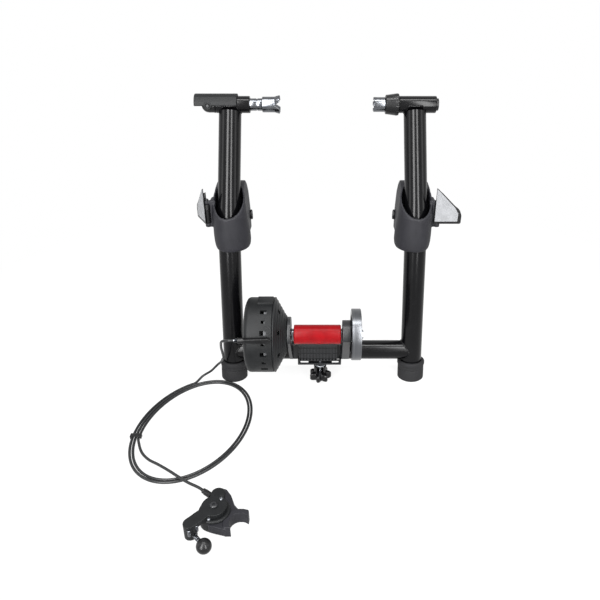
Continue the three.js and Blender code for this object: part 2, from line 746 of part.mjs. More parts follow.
// The handle is a half-round channel that lies over the barrel, with an ear on each side of the pin.
function clampHandle() {
  const outer = HANDLE_IN_R + HANDLE_WALL;
  const endFace = -HANDLE_LEFT + HANDLE_END_WALL;
  const shell = solid(turnedX(tubeProfile(outer, HANDLE_IN_R, endFace, -HANDLE_RIGHT), FINE_SIDES));
  const end = solid(rodX(outer, -HANDLE_LEFT, endFace));
  const span = HANDLE_LEFT - HANDLE_RIGHT;
  const middle = -(HANDLE_LEFT + HANDLE_RIGHT) / 2;
  const lower = solid(boxAt(middle, 0, -outer, 2 * span, 4 * outer, 2 * outer));
  const upper = shell.add(end).subtract(lower);
  const earY = (HANDLE_IN_R + outer) / 2;
  const ears = [-1, 1].map((side) => {
    const from = side * earY - HANDLE_WALL / 2;
    const round = rodY(HANDLE_EAR_DROP, from, from + HANDLE_WALL, SMALL_SIDES);
    return solid(moved(round, -LEVER_PIN_X, 0, 0));
  });
  return joined([upper, ...ears]).subtract(leverPinRoom());
}
add("clamp_handle", clampHandle(), HOUSING_GREY, leftAxle);

const leverPinHalf = HANDLE_IN_R + HANDLE_WALL;
const leverPin = moved(rodY(LEVER_PIN_R, -leverPinHalf, leverPinHalf, SMALL_SIDES), -LEVER_PIN_X, 0, 0);
add("lever_pin", solid(leverPin), ZINC, leftAxle);

// The cam is a spiral: its reach towards the spindle falls evenly as the handle is lifted.
function clampCam() {
  const fall = rad(CAM_SWEEP + CAM_SPARE);
  const points = [];
  const place = (angle, reach) => points.push([reach * Math.cos(angle), -reach * Math.sin(angle)]);
  for (let i = 0; i <= CAM_STEPS; i += 1) {
    const share = i / CAM_STEPS;
    place(fall * share, CAM_MAX_R + (CAM_MIN_R - CAM_MAX_R) * share);
  }
  for (let i = 1; i < CAM_STEPS; i += 1) {
    const share = i / CAM_STEPS;
    place(fall + share * (2 * Math.PI - fall), CAM_MIN_R + (CAM_MAX_R - CAM_MIN_R) * share ** 3);
  }
  const slab = slabY(outline(points), -CAM_WIDTH / 2, CAM_WIDTH / 2);
  return solid(moved(slab, -LEVER_PIN_X, 0, 0)).subtract(leverPinRoom());
}
add("clamp_cam", clampCam(), STEEL, leftAxle);

// Spindles and their axle cups
const noseTip = -LEVER_PIN_X + CAM_MAX_R + CAM_GAP;
const grooveFrom = -SPINDLE_FRONT + SPINDLE_GROOVE_BACK;
const leftSpindleProfile = [
  [0, noseTip],
  [NOSE_R, noseTip],
  [NOSE_R, -SPINDLE_FLANGE_FROM],
  [SPINDLE_R, -SPINDLE_FLANGE_FROM],
  [SPINDLE_R, -SPINDLE_FLANGE_TO],
  [SPINDLE_SHANK_R, -SPINDLE_FLANGE_TO],
  [SPINDLE_SHANK_R, -SPINDLE_FRONT],
  [SPINDLE_R, -SPINDLE_FRONT],
  [SPINDLE_R, grooveFrom],
  [SPINDLE_R - GROOVE, grooveFrom],
  [SPINDLE_R - GROOVE, grooveFrom + SPINDLE_GROOVE_WIDTH],
  [SPINDLE_R, grooveFrom + SPINDLE_GROOVE_WIDTH],
  [SPINDLE_R, -LEFT_CUP_BACK - GAP],
  [0, -LEFT_CUP_BACK - GAP],
];
add("left_spindle", solid(turnedX(leftSpindleProfile, FINE_SIDES)), CHROME, leftAxle);

// A cup opens along the axle, its rim cut into horns by V notches.
function axleCup(back, mouth, bodyR, mouthR, notches, notchShare) {
  const depth = mouth - back;
  const boreR = CUP_BORE_R;
  const profile = [
    [0, back],
    [bodyR - GROOVE, back],
    [bodyR, back + GROOVE * Math.sign(depth)],
    [bodyR, back + depth * CUP_FLARE_SHARE],
    [mouthR, mouth - GROOVE * Math.sign(depth)],
    [mouthR - GROOVE, mouth],
    [mouthR - CUP_RIM, mouth],
    [boreR, back + depth * CUP_SEAT_SHARE],
    [0, back + depth * CUP_FLOOR_SHARE],
  ];
  const notchDepth = Math.abs(depth) * notchShare;
  const tip = mouth - notchDepth * Math.sign(depth);
  const out = mouth + OVERRUN * Math.sign(depth);
  const half = (mouthR * Math.PI) / notches / 2;
  const widen = half * (1 + OVERRUN / notchDepth);
  const wedge = (index) => {
    const shape = outline([
      [tip, 0],
      [out, -widen],
      [out, widen],
    ]);
    const cutter = slabZ(shape, boreR * CUP_CORE_SHARE, mouthR + OVERRUN);
    return solid(cutter.rotateX(turnOf(index, notches)));
  };
  const cup = solid(turnedX(profile, FINE_SIDES));
  return cutBy(cup, Array.from({ length: notches }, (_, index) => wedge(index)));
}
const leftCup = axleCup(-LEFT_CUP_BACK, -LEFT_CUP_MOUTH, CUP_R, CUP_MOUTH_R, LEFT_NOTCHES, LEFT_NOTCH_SHARE);
add("left_cup", leftCup, CHROME, leftAxle);
const rightCup = axleCup(
  RIGHT_CUP_BACK,
  RIGHT_CUP_TIP,
  RIGHT_CUP_R,
  RIGHT_CUP_R,
  RIGHT_NOTCHES,
  RIGHT_NOTCH_SHARE,
);
add("right_cup", rightCup, CHROME, rightAxle);

// Return spring: one unbroken wire wound round the spindle's shank
class Helix extends THREE.Curve {
  constructor(radius, from, to, turns) {
    super();
    Object.assign(this, { radius, from, to, turns });
  }

  getPoint(share, target = new THREE.Vector3()) {
    const angle = 2 * Math.PI * this.turns * share;
    const x = this.from + (this.to - this.from) * share;
    return target.set(x, this.radius * Math.cos(angle), this.radius * Math.sin(angle));
  }
}
const springRoom = SPRING_WIRE_R + GAP;
const springPath = new Helix(
  SPRING_MEAN_R,
  -SPINDLE_FLANGE_TO + springRoom,
  -SHOULDER_FROM - springRoom,
  SPRING_TURNS,
);
const spring = sweep(springPath, SPRING_WIRE_R, CURL_SIDES, CURL_STEPS * SPRING_TURNS);
add("clamp_spring", solid(spring), STEEL, leftAxle);

// Right barrel, screw spindle, lock collar and end plug
add(
  "axle_barrel_right",
  solid(turnedX(tubeProfile(BARREL_R, BORE_R, RIGHT_BARREL_IN, RIGHT_BARREL_OUT), FINE_SIDES)),
  GLOSS_BLACK,
  rightAxle,
);
add("right_spindle", solid(rodX(SPINDLE_R, RIGHT_CUP_BACK + GAP, RIGHT_SPINDLE_OUT)), CHROME, rightAxle);
const plugProfile = [
  [0, PLUG_IN],
  [SPINDLE_R, PLUG_IN],
  [SPINDLE_R, PLUG_OUT - GROOVE],
  [SPINDLE_R - GROOVE, PLUG_OUT],
  [0, PLUG_OUT],
];
add("barrel_plug", solid(turnedX(plugProfile, FINE_SIDES)), KNOB_BLACK, rightAxle);

function lockCollar() {
  const bore = BORE_R;
  const body = solid(
    turnedX(
      [
        [bore, COLLAR_FROM],
        [COLLAR_R - GROOVE, COLLAR_FROM],
        [COLLAR_R, COLLAR_FROM + GROOVE],
        [COLLAR_R, COLLAR_FROM + 3 * GROOVE],
        [COLLAR_FLARE_R, COLLAR_TO - 3 * GROOVE],
        [COLLAR_FLARE_R - GROOVE, COLLAR_TO],
        [bore, COLLAR_TO],
        [bore, COLLAR_FROM],
      ],
      2 * FLUTES,
    ),
  );
  const flutes = Array.from({ length: FLUTES }, (_, index) => {
    const angle = turnOf(index, FLUTES);
    const place = COLLAR_FLARE_R + FLUTE_R / 2;
    const rod = rodX(FLUTE_R, COLLAR_FROM + 4 * GROOVE, COLLAR_TO + OVERRUN, FLUTE_SIDES);
    return solid(moved(rod, 0, place * Math.cos(angle), place * Math.sin(angle)));
  });
  return cutBy(body, flutes);
}
add("lock_collar", lockCollar(), KNOB_BLACK, rightAxle);

// Roller unit: its own pieces are drawn about the roller's axis.
const rollerLine = new THREE.Group();
rollerLine.position.set(0, rollerY, rollerZ);
trainer.add(rollerLine);

const rollerProfile = [
  [AXLE_R + GAP, ROLLER_LEFT],
  [ROLLER_R - ROLLER_CHAMFER, ROLLER_LEFT],
  [ROLLER_R, ROLLER_LEFT + ROLLER_CHAMFER],
  [ROLLER_R, ROLLER_RIGHT - ROLLER_CHAMFER],
  [ROLLER_R - ROLLER_CHAMFER, ROLLER_RIGHT],
  [AXLE_R + GAP, ROLLER_RIGHT],
  [AXLE_R + GAP, ROLLER_LEFT],
];
add("roller", solid(turnedX(rollerProfile, FINE_SIDES)), CRIMSON, rollerLine);
add("roller_axle", solid(rodX(AXLE_R, AXLE_LEFT, AXLE_RIGHT, TUBE_SIDES)), STEEL, rollerLine);

const flywheelWebFrom = (FLYWHEEL_LEFT + FLYWHEEL_RIGHT - FLYWHEEL_WEB) / 2;
const flywheelProfile = [
  [AXLE_R + GAP, FLYWHEEL_LEFT],
  [FLYWHEEL_HUB_R, FLYWHEEL_LEFT],
  [FLYWHEEL_HUB_R, flywheelWebFrom],
  [FLYWHEEL_R - FLYWHEEL_RIM, flywheelWebFrom],
  [FLYWHEEL_R - FLYWHEEL_RIM, FLYWHEEL_LEFT],
  [FLYWHEEL_R, FLYWHEEL_LEFT],
  [FLYWHEEL_R, FLYWHEEL_RIGHT],
  [FLYWHEEL_R - FLYWHEEL_RIM, FLYWHEEL_RIGHT],
  [FLYWHEEL_R - FLYWHEEL_RIM, flywheelWebFrom + FLYWHEEL_WEB],
  [FLYWHEEL_HUB_R, flywheelWebFrom + FLYWHEEL_WEB],
  [FLYWHEEL_HUB_R, FLYWHEEL_RIGHT],
  [AXLE_R + GAP, FLYWHEEL_RIGHT],
  [AXLE_R + GAP, FLYWHEEL_LEFT],
];
add("flywheel", solid(turnedX(flywheelProfile, DRUM_SIDES)), STEEL, rollerLine);
const nutFrom = FLYWHEEL_RIGHT + GAP;
const nutBore = solid(rodX(AXLE_R + GAP, nutFrom - OVERRUN, nutFrom + 2 * OVERRUN, TUBE_SIDES));
add("axle_nut", solid(rodX(NUT_R, nutFrom, nutFrom + NUT_THICK, 6)).subtract(nutBore), ZINC, rollerLine);

// Bearings sit in the cradle's arms.
const leftBearing = tubeProfile(BEARING_R, AXLE_R + GAP, ARM_LEFT, ARM_LEFT + ARM_LEFT_THICK);
const rightBearing = tubeProfile(BEARING_R, AXLE_R + GAP, ARM_RIGHT, ARM_RIGHT + ARM_RIGHT_THICK);
add("bearing_left", solid(turnedX(leftBearing, TUBE_SIDES)), STEEL, rollerLine);
add("bearing_right", solid(turnedX(rightBearing, TUBE_SIDES)), STEEL, rollerLine);

// Cradle: a bent plate in front of the crossbar with an arm at each end of the roller
const localBarY = crossbarY - rollerY;
const localBarZ = CROSSBAR_Z - rollerZ;

function cradleArm(from, thick, topR) {
  const low = PLATE_LOW - rollerZ;
  const back = PLATE_BACK - rollerY;
  const shape = new THREE.Shape();
  shape.moveTo(-topR, 0);
  shape.absarc(0, 0, topR, Math.PI, 0, true);
  shape.lineTo(back, low);
  shape.lineTo(PLATE_FRONT - rollerY, low);
  const plate = slabX(new THREE.Shape(shape.getPoints(10)), from, from + thick);
  const seat = rodX(BEARING_R + GAP, from - OVERRUN, from + thick + OVERRUN, TUBE_SIDES);
  return solid(plate).subtract(solid(seat));
}

function cradle() {
  const low = PLATE_LOW - rollerZ;
  const high = PLATE_TOP - rollerZ;
  const front = PLATE_FRONT - rollerY;
  const back = PLATE_BACK - rollerY;
  const right = ARM_RIGHT + ARM_RIGHT_THICK;
  const shape = outline([
    [front, low],
    [back, low],
    [back, high],
    [front, high],
  ]);
  const plate = solid(slabX(shape, ARM_LEFT, right));
  const barRoom = solid(moved(rodX(CROSSBAR_R + RUN_GAP, ARM_LEFT * 2, right * 2), 0, localBarY, localBarZ));
  const arms = [
    cradleArm(ARM_LEFT, ARM_LEFT_THICK, ARM_LEFT_R),
    cradleArm(ARM_RIGHT, ARM_RIGHT_THICK, ARM_RIGHT_R),
  ];
  const rollerRoom = solid(rodX(ROLLER_R + RUN_GAP, ROLLER_LEFT - RUN_GAP, ROLLER_RIGHT + RUN_GAP));
  return joined([plate, ...arms]).subtract(barRoom).subtract(rollerRoom);
}
add("cradle", cradle(), BLACK_STEEL, rollerLine);

// Clamp saddle: a ribbed block in front of the plate, with a bore for the knob's screw
function clampSaddle() {
  const back = PLATE_FRONT - GAP;
  const face = roundedBox(SADDLE_LEFT, SADDLE_LOW, SADDLE_RIGHT, SADDLE_TOP, SADDLE_RIB);
  const block = slabY(face, SADDLE_FRONT, back);
  const span = SADDLE_RIGHT - SADDLE_LEFT;
  const pitch = span / SADDLE_RIBS;
  const grooves = Array.from({ length: SADDLE_RIBS - 1 }, (_, index) => {
    const x = SADDLE_LEFT + pitch * (index + 1);
    const high = SADDLE_TOP - 2 * SADDLE_RIB;
    const low = SADDLE_LOW + 2 * SADDLE_RIB;
    return solid(boxAt(x, SADDLE_FRONT, (high + low) / 2, SADDLE_RIB, 2 * SADDLE_RIB, high - low));
  });
  const boreTop = SADDLE_LOW + SCREW_BITE + RUN_GAP;
  const bore = moved(rodZ(SCREW_R + GAP, SADDLE_LOW - OVERRUN, boreTop, SMALL_SIDES), KNOB_X, KNOB_Y, 0);
  return cutBy(solid(block), [...grooves, solid(bore)]);
}
add("clamp_saddle", clampSaddle(), BLACK_STEEL);

// Clamp strap: a shallow channel under the saddle that runs on into a band behind the crossbar
const strapOut = CROSSBAR_R + RUN_GAP + STRAP_THICK;
const webLow = CROSSBAR_Z - strapOut;

function clampStrap() {
  const legTop = SADDLE_LOW - GAP;
  const outer = roundedBox(STRAP_LEFT, webLow, STRAP_RIGHT, legTop + 2 * STRAP_CORNER, STRAP_CORNER);
  const inner = roundedBox(
    STRAP_LEFT + STRAP_THICK,
    webLow + STRAP_THICK,
    STRAP_RIGHT - STRAP_THICK,
    legTop + 4 * STRAP_CORNER,
    STRAP_CORNER - STRAP_THICK / 2,
  );
  const frontPart = PLATE_BACK;
  const channel = solid(slabY(outer, STRAP_FRONT, frontPart)).subtract(
    solid(slabY(inner, STRAP_FRONT - OVERRUN, frontPart + OVERRUN)),
  );
  const top = solid(boxAt(0, 0, legTop + 2 * KNEE_Z, 4 * KNEE_Z, 4 * KNEE_Z, 4 * KNEE_Z));
  const webLength = crossbarY - STRAP_FRONT;
  const bandMiddle = (STRAP_BAND_LEFT + STRAP_BAND_RIGHT) / 2;
  const bandWidth = STRAP_BAND_RIGHT - STRAP_BAND_LEFT;
  const webY = STRAP_FRONT + webLength / 2;
  const web = boxAt(bandMiddle, webY, webLow + STRAP_THICK / 2, bandWidth, webLength, STRAP_THICK);
  const shape = new THREE.Shape();
  shape.absarc(crossbarY, CROSSBAR_Z, strapOut, -Math.PI / 2, Math.PI / 2, false);
  shape.absarc(crossbarY, CROSSBAR_Z, strapOut - STRAP_THICK, Math.PI / 2, -Math.PI / 2, true);
  const band = slabX(new THREE.Shape(shape.getPoints(8)), STRAP_BAND_LEFT, STRAP_BAND_RIGHT);
  const hookLength = crossbarY - PLATE_BACK - GAP;
  const hookZ = CROSSBAR_Z + strapOut - STRAP_THICK / 2;
  const hook = boxAt(bandMiddle, crossbarY - hookLength / 2, hookZ, bandWidth, hookLength, STRAP_THICK);
  const boreTop = webLow + STRAP_THICK + OVERRUN;
  const bore = moved(rodZ(SCREW_R + GAP, webLow - OVERRUN, boreTop, SMALL_SIDES), KNOB_X, KNOB_Y, 0);
  const strap = joined([channel.subtract(top), solid(web), solid(band), solid(hook)]);
  return strap.subtract(solid(bore));
}
add("clamp_strap", clampStrap(), BLACK_STEEL);

// Star knob with its screw and washer, on one upright axis
const knobLine = new THREE.Group();
knobLine.position.set(KNOB_X, KNOB_Y, 0);
trainer.add(knobLine);
const washerLow = webLow - GAP - WASHER_THICK;
const hubTop = washerLow - GAP;
const knobTop = KNOB_LOW + KNOB_THICK;

function starKnob() {
  const points = [];
  const steps = KNOB_LOBES * KNOB_LOBE_STEPS;
  for (let i = 0; i < steps; i += 1) {
    const angle = turnOf(i, steps);
    const reach = KNOB_R + (KNOB_LOBE_R / 2) * Math.cos(angle * KNOB_LOBES);
    points.push([reach * Math.cos(angle), reach * Math.sin(angle)]);
  }
  const star = new THREE.ExtrudeGeometry(outline(points), {
    depth: KNOB_THICK - 2 * GROOVE,
    bevelThickness: GROOVE,
    bevelSize: GROOVE,
    bevelSegments: 1,
  });
  const hub = rodZ(KNOB_HUB_R, knobTop - OVERRUN, hubTop, TUBE_SIDES);
  const bore = rodZ(SCREW_R + GAP, KNOB_LOW + GROOVE + OVERRUN, hubTop + OVERRUN, SMALL_SIDES);
  return solid(moved(star, 0, 0, KNOB_LOW + GROOVE)).add(solid(hub)).subtract(solid(bore));
}
add("star_knob", starKnob(), KNOB_BLACK, knobLine);
const screwLow = KNOB_LOW + GROOVE + OVERRUN + GAP;
add("knob_screw", solid(rodZ(SCREW_R, screwLow, SADDLE_LOW + SCREW_BITE, SMALL_SIDES)), CHROME, knobLine);
const washer = turnedZ(tubeProfile(WASHER_R, SCREW_R + GAP, washerLow, washerLow + WASHER_THICK), TUBE_SIDES);
add("knob_washer", solid(washer), ZINC, knobLine);

// Resistance unit: a vented drum, its cone cover, the fixed and the turning magnets, and the disc between
const unitGap = UNIT_JOINT - GAP;
const unitIn = UNIT_R - UNIT_WALL;

function unitHousing() {
  const shell = solid(
    turnedX(
      [
        [0, UNIT_LEFT],
        [UNIT_R * UNIT_DISH_SHARE, UNIT_LEFT + UNIT_DISH_DROP],
        [UNIT_R * UNIT_CROWN_SHARE, UNIT_LEFT + UNIT_CROWN_DROP],
        [UNIT_R - UNIT_WALL / 2, UNIT_SHOULDER],
        [UNIT_R, UNIT_SHOULDER + UNIT_WALL],
        [UNIT_R, unitGap],
        [unitIn, unitGap],
        [unitIn, UNIT_SHOULDER + UNIT_WALL],
        [UNIT_STUB_R + UNIT_WALL, UNIT_SHOULDER],
        [UNIT_STUB_R, UNIT_SHOULDER],
        [UNIT_STUB_R, UNIT_STUB_END],
        [0, UNIT_STUB_END],
      ],
      DRUM_SIDES,
    ),
  );
  const lidTop = UNIT_R + LID_HEIGHT;
  const lid = solid(boxAt(VENT_X, 0, lidTop - UNIT_WALL, LID_LENGTH, LID_WIDTH, 2 * LID_HEIGHT));
  const vents = Array.from({ length: VENTS }, (_, index) => {
    const width = index % 2 ? VENT_WIDTH : VENT_WIDTH * SMALL_VENT_SHARE;
    const cutter = boxAt(VENT_X, 0, UNIT_R, VENT_LENGTH, width, 3 * UNIT_WALL);
    return solid(cutter.rotateX(turnOf(index + 0.5, VENTS)));
  });
  return cutBy(shell.add(lid), vents);
}
add("unit_housing", unitHousing(), HOUSING_GREY, rollerLine);

function unitCover() {
  const step = UNIT_WALL * COVER_STEP_SHARE;
  const middle = (UNIT_JOINT + COVER_END) / 2;
  const profile = [
    [UNIT_R, UNIT_JOINT],
    [UNIT_R, UNIT_JOINT + step],
    [COVER_STEP_R, middle - step],
    [COVER_STEP_R - step, middle],
    [COVER_NOSE_R, COVER_END - step],
    [COVER_NOSE_R - step, COVER_END - GAP],
    [COVER_HOLE_R, COVER_END - GAP],
    [COVER_HOLE_R, COVER_END - UNIT_WALL],
    [COVER_NOSE_R - UNIT_WALL, COVER_END - UNIT_WALL],
    [COVER_STEP_R - 2 * UNIT_WALL, middle - step],
    [UNIT_R - UNIT_WALL, UNIT_JOINT],
    [UNIT_R, UNIT_JOINT],
  ];
  const cover = solid(turnedX(profile, DRUM_SIDES));
  const slots = Array.from({ length: VENTS / 2 }, (_, index) => {
    const width = VENT_WIDTH * COVER_SLOT_SHARE;
    const cutter = boxAt(middle - UNIT_WALL, 0, COVER_STEP_R, UNIT_WALL, width, 6 * UNIT_WALL);
    return solid(cutter.rotateX(turnOf(index, VENTS / 2)));
  });
  return cutBy(cover, slots);
}
add("unit_cover", unitCover(), HOUSING_GREY, rollerLine);

const discR = UNIT_R - UNIT_WALL - DISC_CLEARANCE;
const discProfile = tubeProfile(discR, AXLE_R + GAP, DISC_X, DISC_X + DISC_THICK);
add("eddy_disc", solid(turnedX(discProfile, DRUM_SIDES)), STEEL, rollerLine);

const magnetRing = tubeProfile(unitIn - GAP, RING_IN_R, RING_LEFT, RING_RIGHT);
add("magnet_ring", solid(turnedX(magnetRing, DRUM_SIDES)), ZINC, rollerLine);

const carrierR = UNIT_R - UNIT_WALL - CARRIER_CLEARANCE;
function magnetCarrier() {
  const right = CARRIER_LEFT + CARRIER_THICK;
  const plate = solid(turnedX(tubeProfile(carrierR, UNIT_STUB_R + GAP, CARRIER_LEFT, right), DRUM_SIDES));
  const place = carrierR - MAGNET_R - UNIT_WALL;
  const magnets = Array.from({ length: MAGNETS }, (_, index) => {
    const magnet = moved(rodX(MAGNET_R, right - UNIT_WALL, right + MAGNET_RISE, SMALL_SIDES), 0, 0, place);
    return solid(magnet.rotateX(turnOf(index, MAGNETS)));
  });
  return joined([plate, ...magnets]);
}
add("magnet_carrier", magnetCarrier(), ZINC, rollerLine);

// Cable boss across the drum's front, with a silver adjuster at its outer end
const bossGroup = new THREE.Group();
bossGroup.rotation.x = -rad(BOSS_ANGLE);
rollerLine.add(bossGroup);
const bossFace = -UNIT_R - BOSS_RISE / 2;
const bossBody = slabX(
  roundedBox(-UNIT_R - BOSS_RISE, -BOSS_WIDTH / 2, -UNIT_R + UNIT_WALL, BOSS_WIDTH / 2, BOSS_WIDTH / 4),
  BOSS_LEFT + GROOVE,
  BOSS_RIGHT,
);
const drumRoom = solid(rodX(UNIT_R + GAP, 2 * BOSS_LEFT, 0, DRUM_SIDES));
const adjusterRoom = solid(
  moved(rodX(ADJUSTER_R + GAP, 2 * BOSS_LEFT, BOSS_LEFT + ADJUSTER_LENGTH / 2, SMALL_SIDES), 0, bossFace, 0),
);
add("cable_boss", cutBy(solid(bossBody), [drumRoom, adjusterRoom]), HOUSING_GREY, bossGroup);
const adjusterRight = BOSS_LEFT + ADJUSTER_LENGTH / 2 - GAP;
const adjuster = rodX(ADJUSTER_R, adjusterRight - ADJUSTER_LENGTH, adjusterRight, SMALL_SIDES);
add("cable_adjuster", solid(moved(adjuster, 0, bossFace, 0)), CHROME, bossGroup);

// Remote: housing with a lug for the cable, handlebar clamp, lever with its ball knob
const remote = new THREE.Group();
remote.position.set(REMOTE_X, REMOTE_Y, 0);
trainer.add(remote);
const aim = at(Math.cos(rad(FERRULE_AIM)), Math.sin(rad(FERRULE_AIM)), 0);
const ferruleMouth = at(FERRULE_X, FERRULE_Y, FERRULE_Z);
const ferruleEnd = ferruleMouth.clone().addScaledVector(aim, FERRULE_LENGTH);

function remoteHousing() {
  const edge = (radius) => [
    [0, 0],
    [radius, 0],
    [radius, REMOTE_TOP - REMOTE_EDGE],
    [radius - REMOTE_EDGE, REMOTE_TOP],
    [0, REMOTE_TOP],
  ];
  const drum = solid(turnedZ(edge(REMOTE_R), FINE_SIDES));
  const lug = solid(moved(turnedZ(edge(REMOTE_LUG_R), TUBE_SIDES), 0, REMOTE_LUG_Y, 0));
  const neckTop = REMOTE_TOP - REMOTE_EDGE;
  const neck = solid(boxAt(0, REMOTE_LUG_Y / 2, neckTop / 2, 2 * REMOTE_LUG_R, REMOTE_LUG_Y, neckTop));
  const inlet = solid(barBetween(ferruleMouth, ferruleEnd, FERRULE_R + GAP, OVERRUN, GAP, SMALL_SIDES));
  const pivotBore = solid(rodZ(PIVOT_SCREW_R + GAP, REMOTE_TOP / 2, REMOTE_TOP + OVERRUN, SMALL_SIDES));
  return cutBy(joined([drum, lug, neck]), [inlet, pivotBore]);
}
add("remote_housing", remoteHousing(), HOUSING_GREY, remote);
const ferrule = barBetween(ferruleMouth, ferruleEnd, FERRULE_R, 0, 0, SMALL_SIDES);
add("remote_ferrule", solid(ferrule), KNOB_BLACK, remote);

// The clamp half wraps the handlebar's seat and rests against the housing's side.
function remoteClamp() {
  const away = at(BAR_X, BAR_Y, 0).normalize();
  const block = solid(moved(rodZ(CLAMP_R, 0, REMOTE_TOP - REMOTE_EDGE), BAR_X, BAR_Y, 0));
  const bore = solid(moved(rodZ(BAR_R, -OVERRUN, REMOTE_TOP + OVERRUN), BAR_X, BAR_Y, 0));
  const mouthMiddle = BAR_X * away.x + BAR_Y * away.y + CLAMP_LIP + 2 * CLAMP_R;
  const mouthSize = 4 * CLAMP_R;
  const mouth = boxAt(mouthMiddle, 0, 0, mouthSize, mouthSize, mouthSize);
  mouth.rotateZ(Math.atan2(away.y, away.x));
  const housingRoom = solid(rodZ(REMOTE_R + GAP, -OVERRUN, REMOTE_TOP + OVERRUN));
  return cutBy(block, [bore, solid(mouth), housingRoom]);
}
add("remote_clamp", remoteClamp(), HOUSING_GREY, remote);

function remoteLever() {
  const low = REMOTE_TOP + GAP;
  const high = low + LEVER_THICK;
  const hub = solid(rodZ(LEVER_R, low, high));
  const end = at(LEVER_END_X, LEVER_END_Y, 0);
  const armLength = end.length();
  const arm = boxAt(armLength / 2, 0, (low + high) / 2, armLength, 2 * LEVER_END_R, LEVER_THICK);
  const tip = solid(moved(rodZ(LEVER_END_R, LEVER_END_LOW, high, TUBE_SIDES), LEVER_END_X, LEVER_END_Y, 0));
  const ball = at(BALL_X, BALL_Y, BALL_R + BALL_LIFT);
  const root = at(LEVER_END_X, LEVER_END_Y, BALL_R + BALL_LIFT);
  const stem = solid(barBetween(root, ball, STEM_R, 0, 0, SMALL_SIDES));
  const bore = solid(rodZ(PIVOT_SCREW_R + GAP, 0, high + OVERRUN, SMALL_SIDES));
  const clear = new THREE.SphereGeometry(BALL_R + GAP, BALL_SIDES, BALL_RINGS);
  const ballRoom = solid(moved(clear, ball.x, ball.y, ball.z));
  const lever = joined([hub, solid(arm.rotateZ(Math.atan2(LEVER_END_Y, LEVER_END_X))), tip, stem]);
  return cutBy(lever, [bore, ballRoom]);
}
add("remote_lever", remoteLever(), HOUSING_GREY, remote);
const ball = new THREE.SphereGeometry(BALL_R, BALL_SIDES, BALL_RINGS);
add("ball_knob", solid(moved(ball, BALL_X, BALL_Y, BALL_R + BALL_LIFT)), KNOB_BLACK, remote);
const headLow = REMOTE_TOP + 2 * GAP + LEVER_THICK;
const pivotHead = rodZ(PIVOT_HEAD_R, headLow, headLow + PIVOT_HEAD, SMALL_SIDES);
const pivotShank = rodZ(PIVOT_SCREW_R, REMOTE_TOP / 2 + GAP, headLow + GAP, SMALL_SIDES);
add("lever_screw", solid(pivotShank).add(solid(pivotHead)), CHROME, remote);

// Control cable. The loops are one spiral that draws in by one pitch a turn.
class LoopPath extends THREE.Curve {
  getPoint(share, target = new THREE.Vector3()) {
    const turned = LOOP_TURNS * share;
    const angle = rad(LOOP_START) + 2 * Math.PI * turned;
    const across = -(LOOP_HALF_X - LOOP_PITCH * turned) * Math.sin(angle);
    const along = (LOOP_HALF_Y - LOOP_PITCH * turned) * Math.cos(angle);
    const tilt = rad(LOOP_TILT);
    const x = LOOP_X + across * Math.cos(tilt) + along * Math.sin(tilt);
    const y = LOOP_Y - across * Math.sin(tilt) + along * Math.cos(tilt);
    return target.set(x, y, CABLE_R + CABLE_LIFT);
  }
}
const loops = new LoopPath();
const loopSteps = Math.round(LOOP_STEPS * LOOP_TURNS);
add("cable_loops", solid(sweep(loops, CABLE_R, LOOP_SIDES, loopSteps)), KNOB_BLACK);

// The least gap of the loops to themselves, measured between points at least half a turn apart
function leastLoopGap() {
  const points = loops.getSpacedPoints(loopSteps * 4);
  const apart = LOOP_STEPS * 2;
  let least = Infinity;
  points.forEach((point, i) => {
    for (let j = i + apart; j < points.length; j += 1) least = Math.min(least, point.distanceTo(points[j]));
  });
  return least - 2 * CABLE_R;
}
console.log("least gap of the cable's loops to themselves, mm:", leastLoopGap().toFixed(2));

const inWorld = (local) => local.clone().add(remote.position);
const adjusterFace = (() => {
  const tilt = -rad(BOSS_ANGLE);
  const x = adjusterRight - ADJUSTER_LENGTH - GAP;
  return at(x, rollerY + bossFace * Math.cos(tilt), rollerZ + bossFace * Math.sin(tilt));
})();
const loopStart = loops.getPoint(0);
const loopStartWay = loops.getTangent(0);
const loopEnd = loops.getPoint(1);
const loopEndWay = loops.getTangent(1);

// The lead falls from the adjuster past the front of the left foot to the floor.
const leadPoints = [
  adjusterFace,
  adjusterFace.clone().add(at(-CABLE_RUN_OUT, 0, 0)),
  at(-149, -93, 128),
  at(-155, -76, 109),
  at(-158, -56, 84),
  at(-161, -38, 62),
  at(-167, -24, 46),
  at(-177, -14, 32),
  at(-190, -11, 17),
  at(-205, -11, 6.5),
  loopStart.clone().addScaledVector(loopStartWay, -CABLE_RUN_OUT - GAP),
  loopStart.clone().addScaledVector(loopStartWay, -GAP),
];
const lead = new THREE.CatmullRomCurve3(leadPoints, false, "centripetal");
add("cable_lead", solid(sweep(lead, CABLE_R, CABLE_SIDES, LEAD_STEPS)), KNOB_BLACK);

// The tail leaves the loops inside, humps over them and runs into the remote.
const tailPoints = [
  loopEnd.clone().addScaledVector(loopEndWay, GAP),
  loopEnd.clone().addScaledVector(loopEndWay, GAP + CABLE_RUN_OUT),
  at(-269, -172, 2.4),
  at(-259, -192, 3),
  at(-245, -208, 5),
  at(-228, -221, 8.4),
  at(-211, -233, 9.6),
  at(-194, -245, 9.4),
  at(-179, -255, 9),
  inWorld(ferruleMouth.clone().addScaledVector(aim, -CABLE_RUN_OUT - GAP)),
  inWorld(ferruleMouth.clone().addScaledVector(aim, -GAP)),
];
const tail = new THREE.CatmullRomCurve3(tailPoints, false, "centripetal");
add("cable_tail", solid(sweep(tail, CABLE_R, CABLE_SIDES, TAIL_STEPS)), KNOB_BLACK);
const cableLength = lead.getLength() + loops.getLength() + tail.getLength();
console.log("length of the control cable, mm:", cableLength.toFixed(0));

